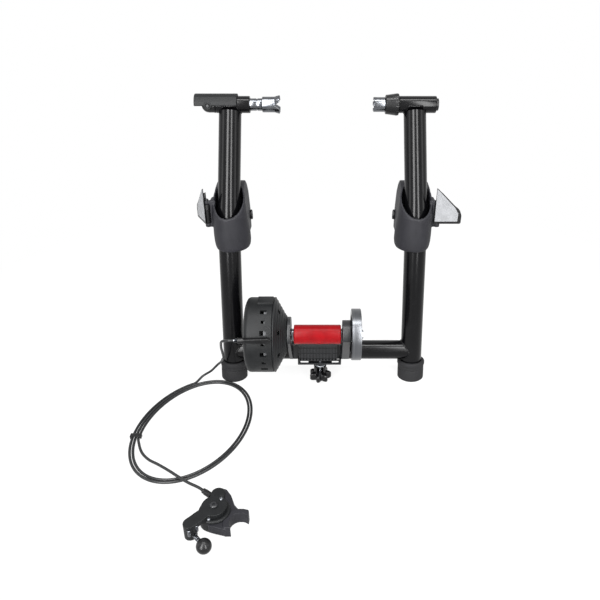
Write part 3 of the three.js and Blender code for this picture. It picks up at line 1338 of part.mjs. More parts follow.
// A clip holds the strands side by side where the loops end.
const tieIn = CABLE_R + GAP;
const tieMiddle = tailPoints[0].clone().lerp(tailPoints[1], 1 / 2);
const tieOuter = LOOP_PITCH * 2 + tieIn;
function cableTie() {
  const top = 2 * CABLE_R + CABLE_LIFT + GAP;
  const width = tieOuter + tieIn;
  const shift = (tieIn - tieOuter) / 2;
  const outer = boxAt(shift, 0, (top + TIE_WALL) / 2, width + 2 * TIE_WALL, TIE_LENGTH, top + TIE_WALL);
  const inner = boxAt(shift, 0, top / 2 - OVERRUN, width, 2 * TIE_LENGTH, top + 2 * OVERRUN);
  const turn = Math.atan2(loopEndWay.y, loopEndWay.x) + Math.PI / 2;
  const place = (geometry) => moved(geometry.rotateZ(turn), tieMiddle.x, tieMiddle.y, 0);
  return solid(place(outer)).subtract(solid(place(inner)));
}
add("cable_tie", cableTie(), KNOB_BLACK);

// The origin lies on the floor under the middle of the stand, without the cable and what is on it.
const CORD_NODES = [
  "cable_lead",
  "cable_loops",
  "cable_tail",
  "cable_tie",
  "remote_housing",
  "remote_ferrule",
  "remote_clamp",
  "remote_lever",
  "ball_knob",
  "lever_screw",
];
trainer.updateMatrixWorld(true);
const standBox = new THREE.Box3();
trainer.traverse((piece) => {
  if (piece.isMesh && !CORD_NODES.includes(piece.name)) standBox.expandByObject(piece, true);
});
const middle = standBox.getCenter(new THREE.Vector3());
trainer.position.set(-middle.x, -middle.y, -standBox.min.z);
const shift = trainer.position.toArray().map((value) => value.toFixed(3));
console.log("the whole stand is moved by, mm:", shift.join(", "));

export default trainer;
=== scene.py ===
"""Magnetic turbo trainer with its remote lever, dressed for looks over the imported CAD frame."""

import math
from itertools import product

import bmesh
import bpy
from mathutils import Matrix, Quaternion, Vector


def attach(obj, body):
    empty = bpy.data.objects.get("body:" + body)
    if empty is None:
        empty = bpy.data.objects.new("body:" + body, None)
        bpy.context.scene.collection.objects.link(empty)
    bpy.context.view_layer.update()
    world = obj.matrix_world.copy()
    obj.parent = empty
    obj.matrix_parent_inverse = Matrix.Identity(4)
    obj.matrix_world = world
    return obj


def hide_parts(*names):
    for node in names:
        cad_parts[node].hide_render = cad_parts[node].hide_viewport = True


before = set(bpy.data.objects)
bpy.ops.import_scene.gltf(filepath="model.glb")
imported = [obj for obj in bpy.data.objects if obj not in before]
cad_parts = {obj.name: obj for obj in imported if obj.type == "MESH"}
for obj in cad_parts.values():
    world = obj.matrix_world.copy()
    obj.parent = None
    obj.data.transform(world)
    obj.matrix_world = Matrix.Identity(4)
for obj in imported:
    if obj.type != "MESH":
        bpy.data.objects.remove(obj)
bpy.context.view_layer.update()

bl_info = {
    "name": "Turbo trainer",
    "version": (1, 0, 0),
    "blender": (4, 5, 0),
    "location": "View3D > Sidebar > Trainer",
    "description": "Dresses a folding wheel-on turbo trainer with its roller unit, cable and remote",
    "category": "Object",
}

MM = 0.001
MOVED_Y = -229.46  # how far the finished stand was moved along Y, in mm

# Places and sizes of the stand in millimetres, before that move
TUBE_R = 17.5
# How far the tube starts above its foot and ends below the axle, and how far its bend reaches from the knee
TUBE_START, TUBE_END, BEND_REACH = 9.5, 13.0, 26.0
FOOT_X, KNEE_X, TOP_X = 152.0, 147.0, 144.0
KNEE_Y, KNEE_Z = 38.0, 272.0
AXLE_Y, AXLE_Z = 118.0, 431.0
CROSSBAR_R, CROSSBAR_Z = 16.0, 49.0
CROSSBAR_Y = KNEE_Y * CROSSBAR_Z / KNEE_Z
BARREL_R, BARREL_BORE = 12.7, 9.6
LEG_R = 16.0
LEG_PIVOT = Vector((147.0, 82.0, 262.0))
LEG_FOOT = Vector((234.0, 548.0, 18.0))
ROLLER_Y, ROLLER_Z = -42.0, 109.0
ROLLER_R, ROLLER_BORE, ROLLER_LEFT, ROLLER_RIGHT = 15.4, 5.2, -45, 29
FLYWHEEL_R, FLYWHEEL_RIM, FLYWHEEL_HUB = 40.8, 31.8, 12
FLYWHEEL_IN, FLYWHEEL_OUT, FLYWHEEL_DISH = 45.3, 60, 3.85
DRUM_R = 59.0
# The weld under a barrel: where its middle lies from the axle line, and its reach along X and along Y
SEAM_Y, SEAM_HALF_X, SEAM_HALF_Y = -4.5, 16.6, 11.0
DRUM_SEGMENTS, SLEEVE_SEGMENTS, TUBE_SEGMENTS, WELD_SEGMENTS = 112, 72, 56, 96
ROUND_SEGMENTS = 64
SMALL_SEGMENTS = 32
SIDES = (("left", -1), ("right", 1))
SMALLEST_RADIUS = 1e-6  # of a profile's points, under which they lie on the axis

# The photograph's camera, in metres in the frame
CAMERA_PLACE = (0.0, -1.03246, 0.575)
CAMERA_PITCH = math.radians(62)
CAMERA_LENS, CAMERA_SENSOR, CAMERA_SHIFT_X = 33.84, 36.0, -0.0375
FLOOR_REACH = 60.0
WHITE = (1.0, 1.0, 1.0, 1.0)


# Colours and node materials
def linear(code):
    """An sRGB hex colour as linear red, green, blue and alpha."""
    values = [int(code[i : i + 2], 16) / 255 for i in (1, 3, 5)]
    return tuple(v / 12.92 if v <= 0.04045 else ((v + 0.055) / 1.055) ** 2.4 for v in values) + (1.0,)


def add_node(tree, kind, sockets=None, **settings):
    """Adds one node. A socket is given a value, or the output that it is linked to."""
    node = tree.nodes.new(kind)
    for name, value in settings.items():
        setattr(node, name, value)
    for name, value in (sockets or {}).items():
        if isinstance(value, bpy.types.NodeSocket):
            tree.links.new(value, node.inputs[name])
        else:
            node.inputs[name].default_value = value
    return node


def start_material(name):
    """An empty node material with its output, and coordinates in metres over the whole stand."""
    material = bpy.data.materials.new(name)
    material.use_nodes = True
    tree = material.node_tree
    tree.nodes.clear()
    output = add_node(tree, "ShaderNodeOutputMaterial")
    place = add_node(tree, "ShaderNodeTexCoord").outputs["Object"]
    return material, tree, output, place


def per_metre(size_mm):
    """The texture scale whose pattern repeats about every size_mm."""
    return 1 / (size_mm * MM)


def join_surface(tree, output, tint, gloss, relief, sockets):
    """A principled surface.

    tint is the marks that tint it and two (place, colour) stops, gloss is the marks that dull it and the
    roughness from and to, and relief is the marks that raise it and their depth in mm.
    """
    marks, *stops = tint
    ramp = add_node(tree, "ShaderNodeValToRGB", {"Fac": marks})
    for stop, (position, color) in zip(ramp.color_ramp.elements, stops):
        stop.position, stop.color = position, color
    marks, low, high = gloss
    roughness = add_node(tree, "ShaderNodeMapRange", {"Value": marks, "To Min": low, "To Max": high})
    marks, depth = relief
    bump = add_node(tree, "ShaderNodeBump", {"Height": marks, "Distance": depth * MM, "Strength": 1.0})
    shader = add_node(tree, "ShaderNodeBsdfPrincipled", {
        "Base Color": ramp.outputs["Color"],
        "Roughness": roughness.outputs["Result"],
        "Normal": bump.outputs["Normal"],
        **sockets,
    })
    tree.links.new(shader.outputs["BSDF"], output.inputs["Surface"])


def studio_rays(tree):
    """1 for the rays that see the white studio itself: camera, glossy and transmission rays."""
    rays = add_node(tree, "ShaderNodeLightPath").outputs
    seen = rays["Is Camera Ray"]
    for name in ("Is Glossy Ray", "Is Transmission Ray"):
        either = {0: seen, 1: rays[name]}
        seen = add_node(tree, "ShaderNodeMath", either, operation="MAXIMUM").outputs["Value"]
    return seen


def finish_material(name, color, darker, roughness, sockets, pattern, bump):
    """A surface with a mottled colour, uneven gloss and a fine relief.

    pattern is the size in mm of the mottling and bump is the size and depth in mm of the relief.
    """
    material, tree, output, place = start_material(name)
    grain_size, grain_depth = bump
    coarse = {"Vector": place, "Scale": per_metre(pattern), "Detail": 4.0}
    mottle = add_node(tree, "ShaderNodeTexNoise", coarse).outputs["Fac"]
    fine = {"Vector": place, "Scale": per_metre(grain_size), "Detail": 3.0}
    grain = add_node(tree, "ShaderNodeTexNoise", fine).outputs["Fac"]
    tint = (mottle, (0.35, darker), (0.65, color))
    join_surface(tree, output, tint, (mottle, *roughness), (grain, grain_depth), sockets)
    return material


def turned_material(name, color, darker, roughness, groove_mm, depth_mm):
    """Bare metal turned on a lathe about an axis along X: fine rings across its faces and edge."""
    material, tree, output, place = start_material(name)
    shaft = (0, -(ROLLER_Y + MOVED_Y) * MM, -ROLLER_Z * MM)
    axis = add_node(tree, "ShaderNodeMapping", {"Vector": place, "Location": shaft}).outputs["Vector"]
    parts = add_node(tree, "ShaderNodeSeparateXYZ", {"Vector": axis}).outputs
    flat = {"X": 0.0, "Y": parts["Y"], "Z": parts["Z"]}
    out = add_node(tree, "ShaderNodeCombineXYZ", flat).outputs["Vector"]
    radius = add_node(tree, "ShaderNodeVectorMath", {0: out}, operation="LENGTH").outputs["Value"]
    turned_flat = {"X": parts["X"], "Y": radius, "Z": 0.0}
    rings = add_node(tree, "ShaderNodeCombineXYZ", turned_flat).outputs["Vector"]
    lines = {"Vector": rings, "Scale": per_metre(groove_mm), "Detail": 5.0}
    marks = add_node(tree, "ShaderNodeTexNoise", lines).outputs["Fac"]
    tint = (marks, (0.3, darker), (0.7, color))
    join_surface(tree, output, tint, (marks, *roughness), (marks, depth_mm), {"Metallic": 1.0})
    return material


# Shapes
def here(point):
    """A point in the stand's millimetres as a point in the frame's metres."""
    x, y, z = point
    return Vector((x * MM, (y + MOVED_Y) * MM, z * MM))


def raw_mesh(points, faces, name="passing"):
    """A mesh of points and faces as they are."""
    mesh = bpy.data.meshes.new(name)
    mesh.from_pydata([tuple(p) for p in points], [], faces)
    return mesh


def add_object(name, data):
    """A new object in the scene."""
    item = bpy.data.objects.new(name, data)
    bpy.context.scene.collection.objects.link(item)
    return item


def edited(mesh, *edits):
    """A mesh after edits, each a function of its bmesh."""
    shape = bmesh.new()
    shape.from_mesh(mesh)
    for edit in edits:
        edit(shape)
    shape.to_mesh(mesh)
    shape.free()
    return mesh


def join_points(shape, reach):
    bmesh.ops.remove_doubles(shape, verts=shape.verts, dist=reach)


def face_out(shape):
    bmesh.ops.recalc_face_normals(shape, faces=shape.faces)


def piece(name, points, faces, finish, body, slot, *replaces, crease=35.0):
    """A mesh object, smooth but for its sharp edges, that rides on a body and stands for CAD nodes."""
    return piece_from(name, raw_mesh(points, faces, name), finish, body, slot, *replaces, crease=crease)


def piece_from(name, mesh, finish, body, slot, *replaces, crease=35.0):
    """The same, from a finished mesh."""
    edited(mesh, lambda shape: join_points(shape, 1e-7), face_out)
    mesh.polygons.foreach_set("use_smooth", [True] * len(mesh.polygons))
    mesh.set_sharp_from_angle(angle=math.radians(crease))
    mesh.materials.clear()
    mesh.materials.append(look(finish))
    item = add_object(name, mesh)
    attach(item, body)
    if replaces:
        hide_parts(*replaces)
    return item


def bent(start, corner, end, steps):
    """Points of a bend from start to end that stays inside its corner."""
    shares = [step / steps for step in range(steps + 1)]
    return [start * (1 - t) ** 2 + corner * 2 * t * (1 - t) + end * t**2 for t in shares]


def eased(profile, radius, steps=3):
    """Rounds the corners of a closed or open profile by about that radius."""
    closed = profile[0] == profile[-1]
    points = [Vector(p) for p in (profile[:-1] if closed else profile)]
    count = len(points)
    result = []
    for i, corner in enumerate(points):
        if not closed and i in (0, count - 1):
            result.append(tuple(corner))
            continue
        before, after = points[i - 1], points[(i + 1) % count]
        back, on = before - corner, after - corner
        reach = min(radius, 0.45 * back.length, 0.45 * on.length)
        start = corner + back.normalized() * reach
        end = corner + on.normalized() * reach
        result += [tuple(point) for point in bent(start, corner, end, steps)]
    if closed:
        result.append(result[0])
    return result


def around(count):
    """The cosine and sine of each of so many even steps round a circle."""
    return [(math.cos(2 * math.pi * k / count), math.sin(2 * math.pi * k / count)) for k in range(count)]


def bands(starts, count):
    """Faces between rings of so many points, each ring given by the number of its first point."""
    faces = []
    for a, b in zip(starts, starts[1:]):
        for k in range(count):
            n = (k + 1) % count
            faces.append([a + k, a + n, b + n, b + k])
    return faces


def turned(profile, segments, ease, place):
    """Points and faces of a profile of (radius, place along), its corners eased, turned about its axis."""
    if ease:
        profile = eased(profile, ease)
    closed = profile[0] == profile[-1]
    rings = profile[:-1] if closed else profile
    points, starts = [], []
    for radius, along in rings:
        starts.append(len(points))
        single = radius <= SMALLEST_RADIUS
        for cosine, sine in around(segments)[: 1 if single else segments]:
            points.append(place(along, radius * cosine, radius * sine))
    faces = []
    order = list(range(len(rings))) + ([0] if closed else [])
    for a, b in zip(order, order[1:]):
        single_a, single_b = rings[a][0] <= SMALLEST_RADIUS, rings[b][0] <= SMALLEST_RADIUS
        if single_a and single_b:
            continue
        for k in range(segments):
            n = (k + 1) % segments
            first = [starts[a]] if single_a else [starts[a] + k, starts[a] + n]
            last = [starts[b]] if single_b else [starts[b] + n, starts[b] + k]
            faces.append(first + last)
    return points, faces


def turned_x(profile, centre_y, centre_z, segments=ROUND_SEGMENTS, ease=0.0):
    """The same about a line along X at that Y and Z, in the stand's millimetres."""
    return turned(profile, segments, ease, lambda along, u, v: here((along, centre_y + u, centre_z + v)))


def turned_z(profile, centre_x, centre_y, segments=ROUND_SEGMENTS, ease=0.0):
    """The same about an upright line."""
    return turned(profile, segments, ease, lambda along, u, v: here((centre_x + u, centre_y + v, along)))


def on_axle(profile, segments=ROUND_SEGMENTS, ease=0.0):
    """The same on the line of the bicycle's axle."""
    return turned_x(profile, AXLE_Y, AXLE_Z, segments, ease)


def on_roller(profile, segments=ROUND_SEGMENTS, ease=0.0):
    """The same on the line of the roller's shaft."""
    return turned_x(profile, ROLLER_Y, ROLLER_Z, segments, ease)


def turned_between(profile, start, end, segments=ROUND_SEGMENTS, ease=0.0):
    """The same about the line from start towards end, with place measured from start."""
    turn = Vector((0, 0, 1)).rotation_difference((end - start).normalized())
    return turned(profile, segments, ease, lambda along, u, v: here(start + turn @ Vector((u, v, along))))


def tube_along(path, radius, sides):
    """Points and faces of a round tube along a path in the stand's millimetres, closed at both ends."""
    points = []
    way = (path[1] - path[0]).normalized()
    side = way.orthogonal().normalized()
    for i, middle in enumerate(path):
        ahead = path[min(i + 1, len(path) - 1)] - path[max(i - 1, 0)]
        turn = way.rotation_difference(ahead.normalized())
        side = (turn @ side).normalized()
        way = ahead.normalized()
        other = way.cross(side)
        points += [here(middle + radius * (u * side + v * other)) for u, v in around(sides)]
    last = (len(path) - 1) * sides
    faces = bands(range(0, last + 1, sides), sides)
    return points, faces + [list(range(sides)), [last + k for k in range(sides)]]


def evaluated(item):
    """The mesh of an object with its modifiers applied."""
    bpy.context.view_layer.update()
    graph = bpy.context.evaluated_depsgraph_get()
    return bpy.data.meshes.new_from_object(item.evaluated_get(graph))


def worked(mesh, *steps):
    """Runs modifiers, each (type, settings), over a mesh and returns the result."""
    item = add_object("passing", mesh)
    for number, (kind, settings) in enumerate(steps):
        modifier = item.modifiers.new(f"step{number}", kind)
        for name, value in settings.items():
            setattr(modifier, name, value)
    result = evaluated(item)
    bpy.data.objects.remove(item)
    return result


def edged_copy(node, name, finish, body, slot, width):
    """A CAD node with its edges rounded, as pressed or machined parts have them."""
    mesh = edited(
        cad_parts[node].data.copy(),
        lambda shape: join_points(shape, 2e-6),
        lambda shape: bmesh.ops.dissolve_limit(
            shape, angle_limit=math.radians(2), verts=shape.verts, edges=shape.edges
        ),
    )
    bevel = {
        "width": width * MM, "segments": 2, "limit_method": "ANGLE", "angle_limit": math.radians(32),
        "use_clamp_overlap": True, "harden_normals": False,
    }
    return piece_from(name, worked(mesh, ("BEVEL", bevel)), finish, body, slot, node, crease=40.0)


def moulded(mesh, voxel, rounds, ratio):
    """A mesh remeshed and relaxed, so that its edges are round as on a moulding."""
    steps = [
        ("REMESH", {"mode": "VOXEL", "voxel_size": voxel * MM, "use_smooth_shade": True}),
        ("SMOOTH", {"factor": 0.5, "iterations": rounds}),
        ("DECIMATE", {"decimate_type": "COLLAPSE", "ratio": ratio}),
    ]
    return worked(mesh, *steps)


def moulded_copy(node, name, finish, body, slot, voxel, rounds, ratio):
    """A CAD node moulded like that."""
    result = moulded(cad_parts[node].data.copy(), voxel, rounds, ratio)
    return piece_from(name, result, finish, body, slot, node, crease=60.0)


def merged(*meshes):
    """Meshes as one, for remeshing."""
    shape = bmesh.new()
    for mesh in meshes:
        shape.from_mesh(mesh)
    result = bpy.data.meshes.new("passing")
    shape.to_mesh(result)
    shape.free()
    return result


def lofted(rings):
    """Points and faces of a closed body through rings of as many points each."""
    points = [here(p) for ring in rings for p in ring]
    count, last = len(rings[0]), (len(rings) - 1) * len(rings[0])
    ends = [list(range(count)), [last + k for k in range(count)]]
    return points, ends + bands(range(0, last + 1, count), count)


def bare_mesh(points, faces):
    """A closed mesh facing out."""
    return edited(raw_mesh(points, faces), face_out)


def cut_mesh(mesh, cutters):
    """A mesh with closed bodies, each (points, faces), taken out of it one after another."""
    for cutter in cutters:
        tool = add_object("passing", bare_mesh(*cutter))
        mesh = worked(mesh, ("BOOLEAN", {"operation": "DIFFERENCE", "object": tool, "solver": "EXACT"}))
        bpy.data.objects.remove(tool)
    return mesh


def cut_piece(points, faces, cutters):
    """The same from points and faces, all cutters at once."""
    tool_points, tool_faces = [], []
    for cutter_points, cutter_faces in cutters:
        start = len(tool_points)
        tool_points += [tuple(p) for p in cutter_points]
        tool_faces += [[start + i for i in face] for face in cutter_faces]
    return cut_mesh(bare_mesh(points, faces), [(tool_points, tool_faces)])


def block(centre, size, turn_about=None, angle=0.0):
    """Points and faces of a box in the stand's millimetres, turned about a line along X through a point."""
    halves = [(-reach / 2, reach / 2) for reach in size]
    points = [Vector(centre) + Vector(corner) for corner in product(*halves)]
    if turn_about is not None:
        spin = Quaternion((1, 0, 0), angle)
        pivot = Vector(turn_about)
        points = [pivot + spin @ (p - pivot) for p in points]
    faces = [[0, 1, 3, 2], [4, 6, 7, 5], [0, 4, 5, 1], [2, 3, 7, 6], [0, 2, 6, 4], [1, 5, 7, 3]]
    return [here(p) for p in points], faces


def rod_profile(radius, start, end):
    return [(0, start), (radius, start), (radius, end), (0, end)]


def sleeve_profile(outer, inner, start, end):
    return [(inner, start), (outer, start), (outer, end), (inner, end), (inner, start)]


# Finishes, each made once and shared
def chosen(name):
    """A colour from the sidebar's settings."""
    return tuple(getattr(bpy.context.scene.trainer_colours, name))


def shaded(color, share):
    return tuple(v * share for v in color[:3]) + (1.0,)


def coloured(name, setting, share, roughness, specular, pattern, bump):
    """A finish in a colour from the settings, mottled down to a share of it.

    roughness is the least and the most; pattern and bump are as for finish_material.
    """
    color = chosen(setting)
    sockets = {"Specular IOR Level": specular}
    return finish_material(name, color, shaded(color, share), roughness, sockets, pattern, bump)


def gloss_powder_coat():
    # Polyester powder coat on steel tube: deep black, with two sharp streaks of light down each tube.
    return coloured("gloss_powder_coat", "powder_coat", 0.75, (0.15, 0.2), 0.18, 18.0, (6.0, 0.0015))


def satin_pressed_steel():
    # Pressed steel plate in satin black e-coat: even, a little grey where light grazes it.
    return coloured("satin_pressed_steel", "satin_coat", 0.8, (0.34, 0.46), 0.35, 9.0, (0.7, 0.02))


def moulded_nylon():
    # Glass-filled nylon, moulded with a spark-eroded grain: dark grey, broad soft highlights.
    return coloured("moulded_nylon", "shroud", 0.82, (0.48, 0.6), 0.2, 14.0, (0.55, 0.03))


def moulded_abs():
    # ABS housing, moulded with a fine grain: darker than the shrouds and a little glossier.
    return coloured("moulded_abs", "housing", 0.8, (0.4, 0.52), 0.15, 11.0, (0.45, 0.025))


def black_acetal():
    # Acetal mouldings that hands turn: near black, smooth, with polished corners.
    return coloured("black_acetal", "knobs", 0.7, (0.24, 0.36), 0.24, 6.0, (0.8, 0.008))


def cap_rubber():
    # Moulded rubber of the feet: matt charcoal with a dusty bloom.
    return coloured("cap_rubber", "rubber", 0.78, (0.68, 0.85), 0.28, 8.0, (0.5, 0.04))


def roller_urethane():
    # Cast polyurethane sleeve, turned to size: crimson, slightly waxy, with fine turning lines.
    material, tree, output, place = start_material("roller_urethane")
    color = chosen("roller")
    stretch = add_node(tree, "ShaderNodeMapping", {"Vector": place, "Scale": (1.0, 0.06, 0.06)})
    turning = {"Vector": stretch.outputs["Vector"], "Scale": per_metre(1.1), "Detail": 4.0}
    lines = add_node(tree, "ShaderNodeTexNoise", turning).outputs["Fac"]
    cast = {"Vector": place, "Scale": per_metre(13.0), "Detail": 3.0}
    mottle = add_node(tree, "ShaderNodeTexNoise", cast).outputs["Fac"]
    tint = (mottle, (0.35, shaded(color, 0.82)), (0.65, color))
    join_surface(tree, output, tint, (lines, 0.24, 0.36), (lines, 0.02), {"Specular IOR Level": 0.08})
    return material


def chrome_plate():
    # Bright nickel-chrome plate: a mirror with faint smears from handling.
    return finish_material(
        "chrome_plate", linear("#6b6d70"), linear("#5a5c60"), (0.12, 0.2), {"Metallic": 1.0}, 7.0,
        (3.0, 0.0006),
    )


def zinc_plate():
    # Zinc plated fasteners: a pale grey metal with a soft crystalline mottle.
    return finish_material(
        "zinc_plate", linear("#b9bdc1"), linear("#93979b"), (0.26, 0.42), {"Metallic": 1.0}, 2.0,
        (0.6, 0.01),
    )


def magnet_ferrite():
    # Sintered ferrite magnets on a steel plate: dull charcoal, slightly porous.
    return finish_material(
        "magnet_ferrite", linear("#4a4b4d"), linear("#38393b"), (0.6, 0.75), {}, 3.0, (0.4, 0.03)
    )


def turned_flywheel():
    # Solid steel, faced and polished on a lathe: bright, with fine rings that draw the reflections out.
    return turned_material(
        "turned_flywheel", linear("#66676a"), linear("#55575a"), (0.26, 0.36), 0.9, 0.001
    )


def turned_shaft():
    # Ground steel shaft and bearing races: bright with close rings.
    return turned_material("turned_shaft", linear("#b4b6ba"), linear("#85888c"), (0.16, 0.3), 0.5, 0.003)


def silver_foil():
    # Bare metallised foil label under clear film: pale silver grey, satin, with slight waves.
    return coloured("silver_foil", "label", 0.86, (0.45, 0.6), 0.2, 12.0, (9.0, 0.03))


def cable_jacket():
    # Extruded PVC over the cable's steel liner: black, smooth, drawn lengthwise.
    return coloured("cable_jacket", "cable", 0.8, (0.34, 0.46), 0.3, 5.0, (0.9, 0.01))


def look(make):
    """The finish that this function makes, made the first time it is asked for."""
    return bpy.data.materials.get(make.__name__) or make()


# Routes
def tube_corners(side):
    """The bent tube's foot, knee and top, as its straights would meet."""
    foot = Vector((side * FOOT_X, 0, 0))
    knee = Vector((side * KNEE_X, KNEE_Y, KNEE_Z))
    return foot, knee, Vector((side * TOP_X, AXLE_Y, AXLE_Z))


def upright_path(side, steps=14):
    """The bent tube's middle line, from inside its foot to just under the barrel."""
    foot, knee, top = tube_corners(side)
    start = foot + (knee - foot).normalized() * TUBE_START
    end = top + (knee - top).normalized() * TUBE_END
    bend_in = knee + (start - knee).normalized() * BEND_REACH
    bend_out = knee + (end - knee).normalized() * BEND_REACH
    path = [start.lerp(bend_in, i / 4) for i in range(4)]
    path += bent(bend_in, knee, bend_out, steps)
    path += [bend_out.lerp(end, (i + 1) / 4) for i in range(4)]
    return path


def leg_line(side):
    """A rear leg's pivot, its foot and the level direction of its pin."""
    pivot, foot = (Vector((side * p.x, p.y, p.z)) for p in (LEG_PIVOT, LEG_FOOT))
    way = (foot - pivot).normalized()
    return pivot, foot, Vector((way.y, -way.x, 0)).normalized()


def ring_bead(points, radius, name, ripple=0.18, sides=10):
    """A weld bead along a closed line, with a ripple of its run at every fourth point."""
    count = len(points)
    centre = sum(points, Vector()) / count
    made = []
    for i, middle in enumerate(points):
        way = (points[(i + 1) % count] - points[i - 1]).normalized()
        out = (middle - centre).normalized()
        out = (out - way * out.dot(way)).normalized()
        other = way.cross(out)
        swell = radius * (1 + ripple * math.sin(i * 2 * math.pi / 4))
        made += [here(middle + swell * (u * out + v * other)) for u, v in around(sides)]
    faces = bands([*range(0, count * sides, sides), 0], sides)
    return piece(name, made, faces, gloss_powder_coat, "frame", "gloss_black", crease=180.0)


# Pieces
def make_cable():
    """The control cable, whole: from the adjuster, through its loops, to the remote's ferrule."""
    sizes = bpy.context.scene.trainer_sizes
    points = [here(p) for p in cable_route()]
    curve = bpy.data.curves.new("control_cable", "CURVE")
    curve.dimensions = "3D"
    curve.bevel_depth = sizes.cable_diameter / 2
    curve.bevel_resolution = 4
    curve.use_fill_caps = True
    line = curve.splines.new("POLY")
    line.points.add(len(points) - 1)
    for slot, point in zip(line.points, points):
        slot.co = (*point, 1.0)
    curve.materials.append(look(cable_jacket))
    cable = add_object("control_cable", curve)
    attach(cable, "frame")
    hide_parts("cable_lead", "cable_loops", "cable_tail")
    length = sum((b - a).length for a, b in zip(points, points[1:]))
    return cable, points[0], length


CABLE_R, CABLE_LIFT = 2.0, 0.2
LOOP_X, LOOP_Y, LOOP_HALF_X, LOOP_HALF_Y = -195.5, -133.0, 84.0, 120.0
LOOP_TILT, LOOP_START, LOOP_TURNS, LOOP_PITCH = 16.0, 40.0, 2.2, 4.8
ADJUSTER_Y, ADJUSTER_Z = -99.53, 133.42
ADJUSTER_FACE = (-131.1, ADJUSTER_Y, ADJUSTER_Z)
LEAD_MIDDLE = (
    (-139.1, ADJUSTER_Y, ADJUSTER_Z), (-149, -93, 128), (-155, -76, 109), (-158, -56, 84), (-161, -38, 62),
    (-167, -24, 46), (-177, -14, 32), (-190, -11, 17), (-205, -11, 6.5),
)
TAIL_MIDDLE = (
    (-269, -172, 2.4), (-259, -192, 3), (-245, -208, 5), (-228, -221, 8.4), (-211, -233, 9.6),
    (-194, -245, 9.4), (-179, -255, 9),
)
FERRULE_MOUTH = Vector((-156.0, -269.0, 9.0))
FERRULE_WAY = Vector((math.cos(math.radians(-37)), math.sin(math.radians(-37)), 0))
INNER_WIRE = ((-137.5, -288, 9), (-134, -303, 9))  # on through the remote to its lever's drum
RUN_OUT, TOUCH = 8.0, 0.3


def loop_point(share):
    """A point that share of the way through the loops, each a little smaller than the one before."""
    turned_by = LOOP_TURNS * share
    angle = math.radians(LOOP_START) + 2 * math.pi * turned_by
    across = -(LOOP_HALF_X - LOOP_PITCH * turned_by) * math.sin(angle)
    along = (LOOP_HALF_Y - LOOP_PITCH * turned_by) * math.cos(angle)
    tilt = math.radians(LOOP_TILT)
    x = LOOP_X + across * math.cos(tilt) + along * math.sin(tilt)
    y = LOOP_Y - across * math.sin(tilt) + along * math.cos(tilt)
    return Vector((x, y, CABLE_R + CABLE_LIFT))


def centripetal(points, per_span=10):
    """A centripetal Catmull-Rom curve through the points, its ends run on straight."""
    points = [Vector(p) for p in points]
    ends = [points[0] * 2 - points[1]] + points + [points[-1] * 2 - points[-2]]
    made = []
    for p0, p1, p2, p3 in zip(ends, ends[1:], ends[2:], ends[3:]):
        t0 = 0.0
        t1 = t0 + (p1 - p0).length ** 0.5
        t2 = t1 + (p2 - p1).length ** 0.5
        t3 = t2 + (p3 - p2).length ** 0.5
        for i in range(per_span):
            t = t1 + (t2 - t1) * i / per_span
            a1 = p0.lerp(p1, (t - t0) / (t1 - t0))
            a2 = p1.lerp(p2, (t - t1) / (t2 - t1))
            a3 = p2.lerp(p3, (t - t2) / (t3 - t2))
            b1 = a1.lerp(a2, (t - t0) / (t2 - t0))
            b2 = a2.lerp(a3, (t - t1) / (t3 - t1))
            made.append(b1.lerp(b2, (t - t1) / (t2 - t1)))
    made.append(points[-1])
    return made


def cable_route():
    """The cable's middle line in the stand's millimetres."""
    start, end = loop_point(0), loop_point(1)
    start_way = (loop_point(0.001) - start).normalized()
    end_way = (end - loop_point(0.999)).normalized()
    mouth, aim = FERRULE_MOUTH, FERRULE_WAY
    lead = centripetal(
        [ADJUSTER_FACE, *LEAD_MIDDLE, start - start_way * (RUN_OUT + TOUCH), start - start_way * TOUCH]
    )
    loops = [loop_point(i / 300) for i in range(301)]
    tail = centripetal(
        [
            end + end_way * TOUCH, end + end_way * (TOUCH + RUN_OUT), *TAIL_MIDDLE,
            mouth - aim * (RUN_OUT + TOUCH), mouth - aim * TOUCH, mouth + aim * 15, *INNER_WIRE,
        ]
    )
    return lead + loops + tail


def make_upright(word, side):
    """A bent tube, hollowed where its barrel runs through."""
    name = f"upright_{word}"
    inner, outer = sorted((0, side * 210))
    room = on_axle(rod_profile(BARREL_R + 0.1, inner, outer))
    mesh = cut_piece(*tube_along(upright_path(side), TUBE_R, TUBE_SEGMENTS), [room])
    piece_from(f"{name}_tube", mesh, gloss_powder_coat, "frame", "gloss_black", name)


def make_crossbar():
    """The tube between the feet."""
    end = FOOT_X - 8
    made = turned_x(rod_profile(CROSSBAR_R, -end, end), CROSSBAR_Y, CROSSBAR_Z)
    piece("crossbar_tube", *made, gloss_powder_coat, "frame", "gloss_black", "crossbar")


def make_welds():
    """The beads round the uprights, under the barrels and at the crossbar's ends."""
    bead = bpy.context.scene.trainer_sizes.weld_bead / MM
    for word, side in SIDES:
        barrel_run, crossbar_run = [], []
        for u, v in around(WELD_SEGMENTS):
            y = AXLE_Y + SEAM_Y + SEAM_HALF_Y * v
            z = AXLE_Z - math.sqrt(max(BARREL_R**2 - (y - AXLE_Y) ** 2, 0.0))
            barrel_run.append(Vector((side * TOP_X + SEAM_HALF_X * u, y, z - 0.2)))
            y = CROSSBAR_Y + (CROSSBAR_R + 0.3) * u
            z = CROSSBAR_Z + (CROSSBAR_R + 0.3) * v
            share = z / KNEE_Z
            middle_x = FOOT_X + (KNEE_X - FOOT_X) * share
            reach = math.sqrt(max(TUBE_R**2 - (y - KNEE_Y * share) ** 2, 0.0))
            crossbar_run.append(Vector((side * (middle_x - reach), y, z)))
        ring_bead(barrel_run, bead, f"barrel_weld_{word}")
        ring_bead(crossbar_run, bead, f"crossbar_weld_{word}")


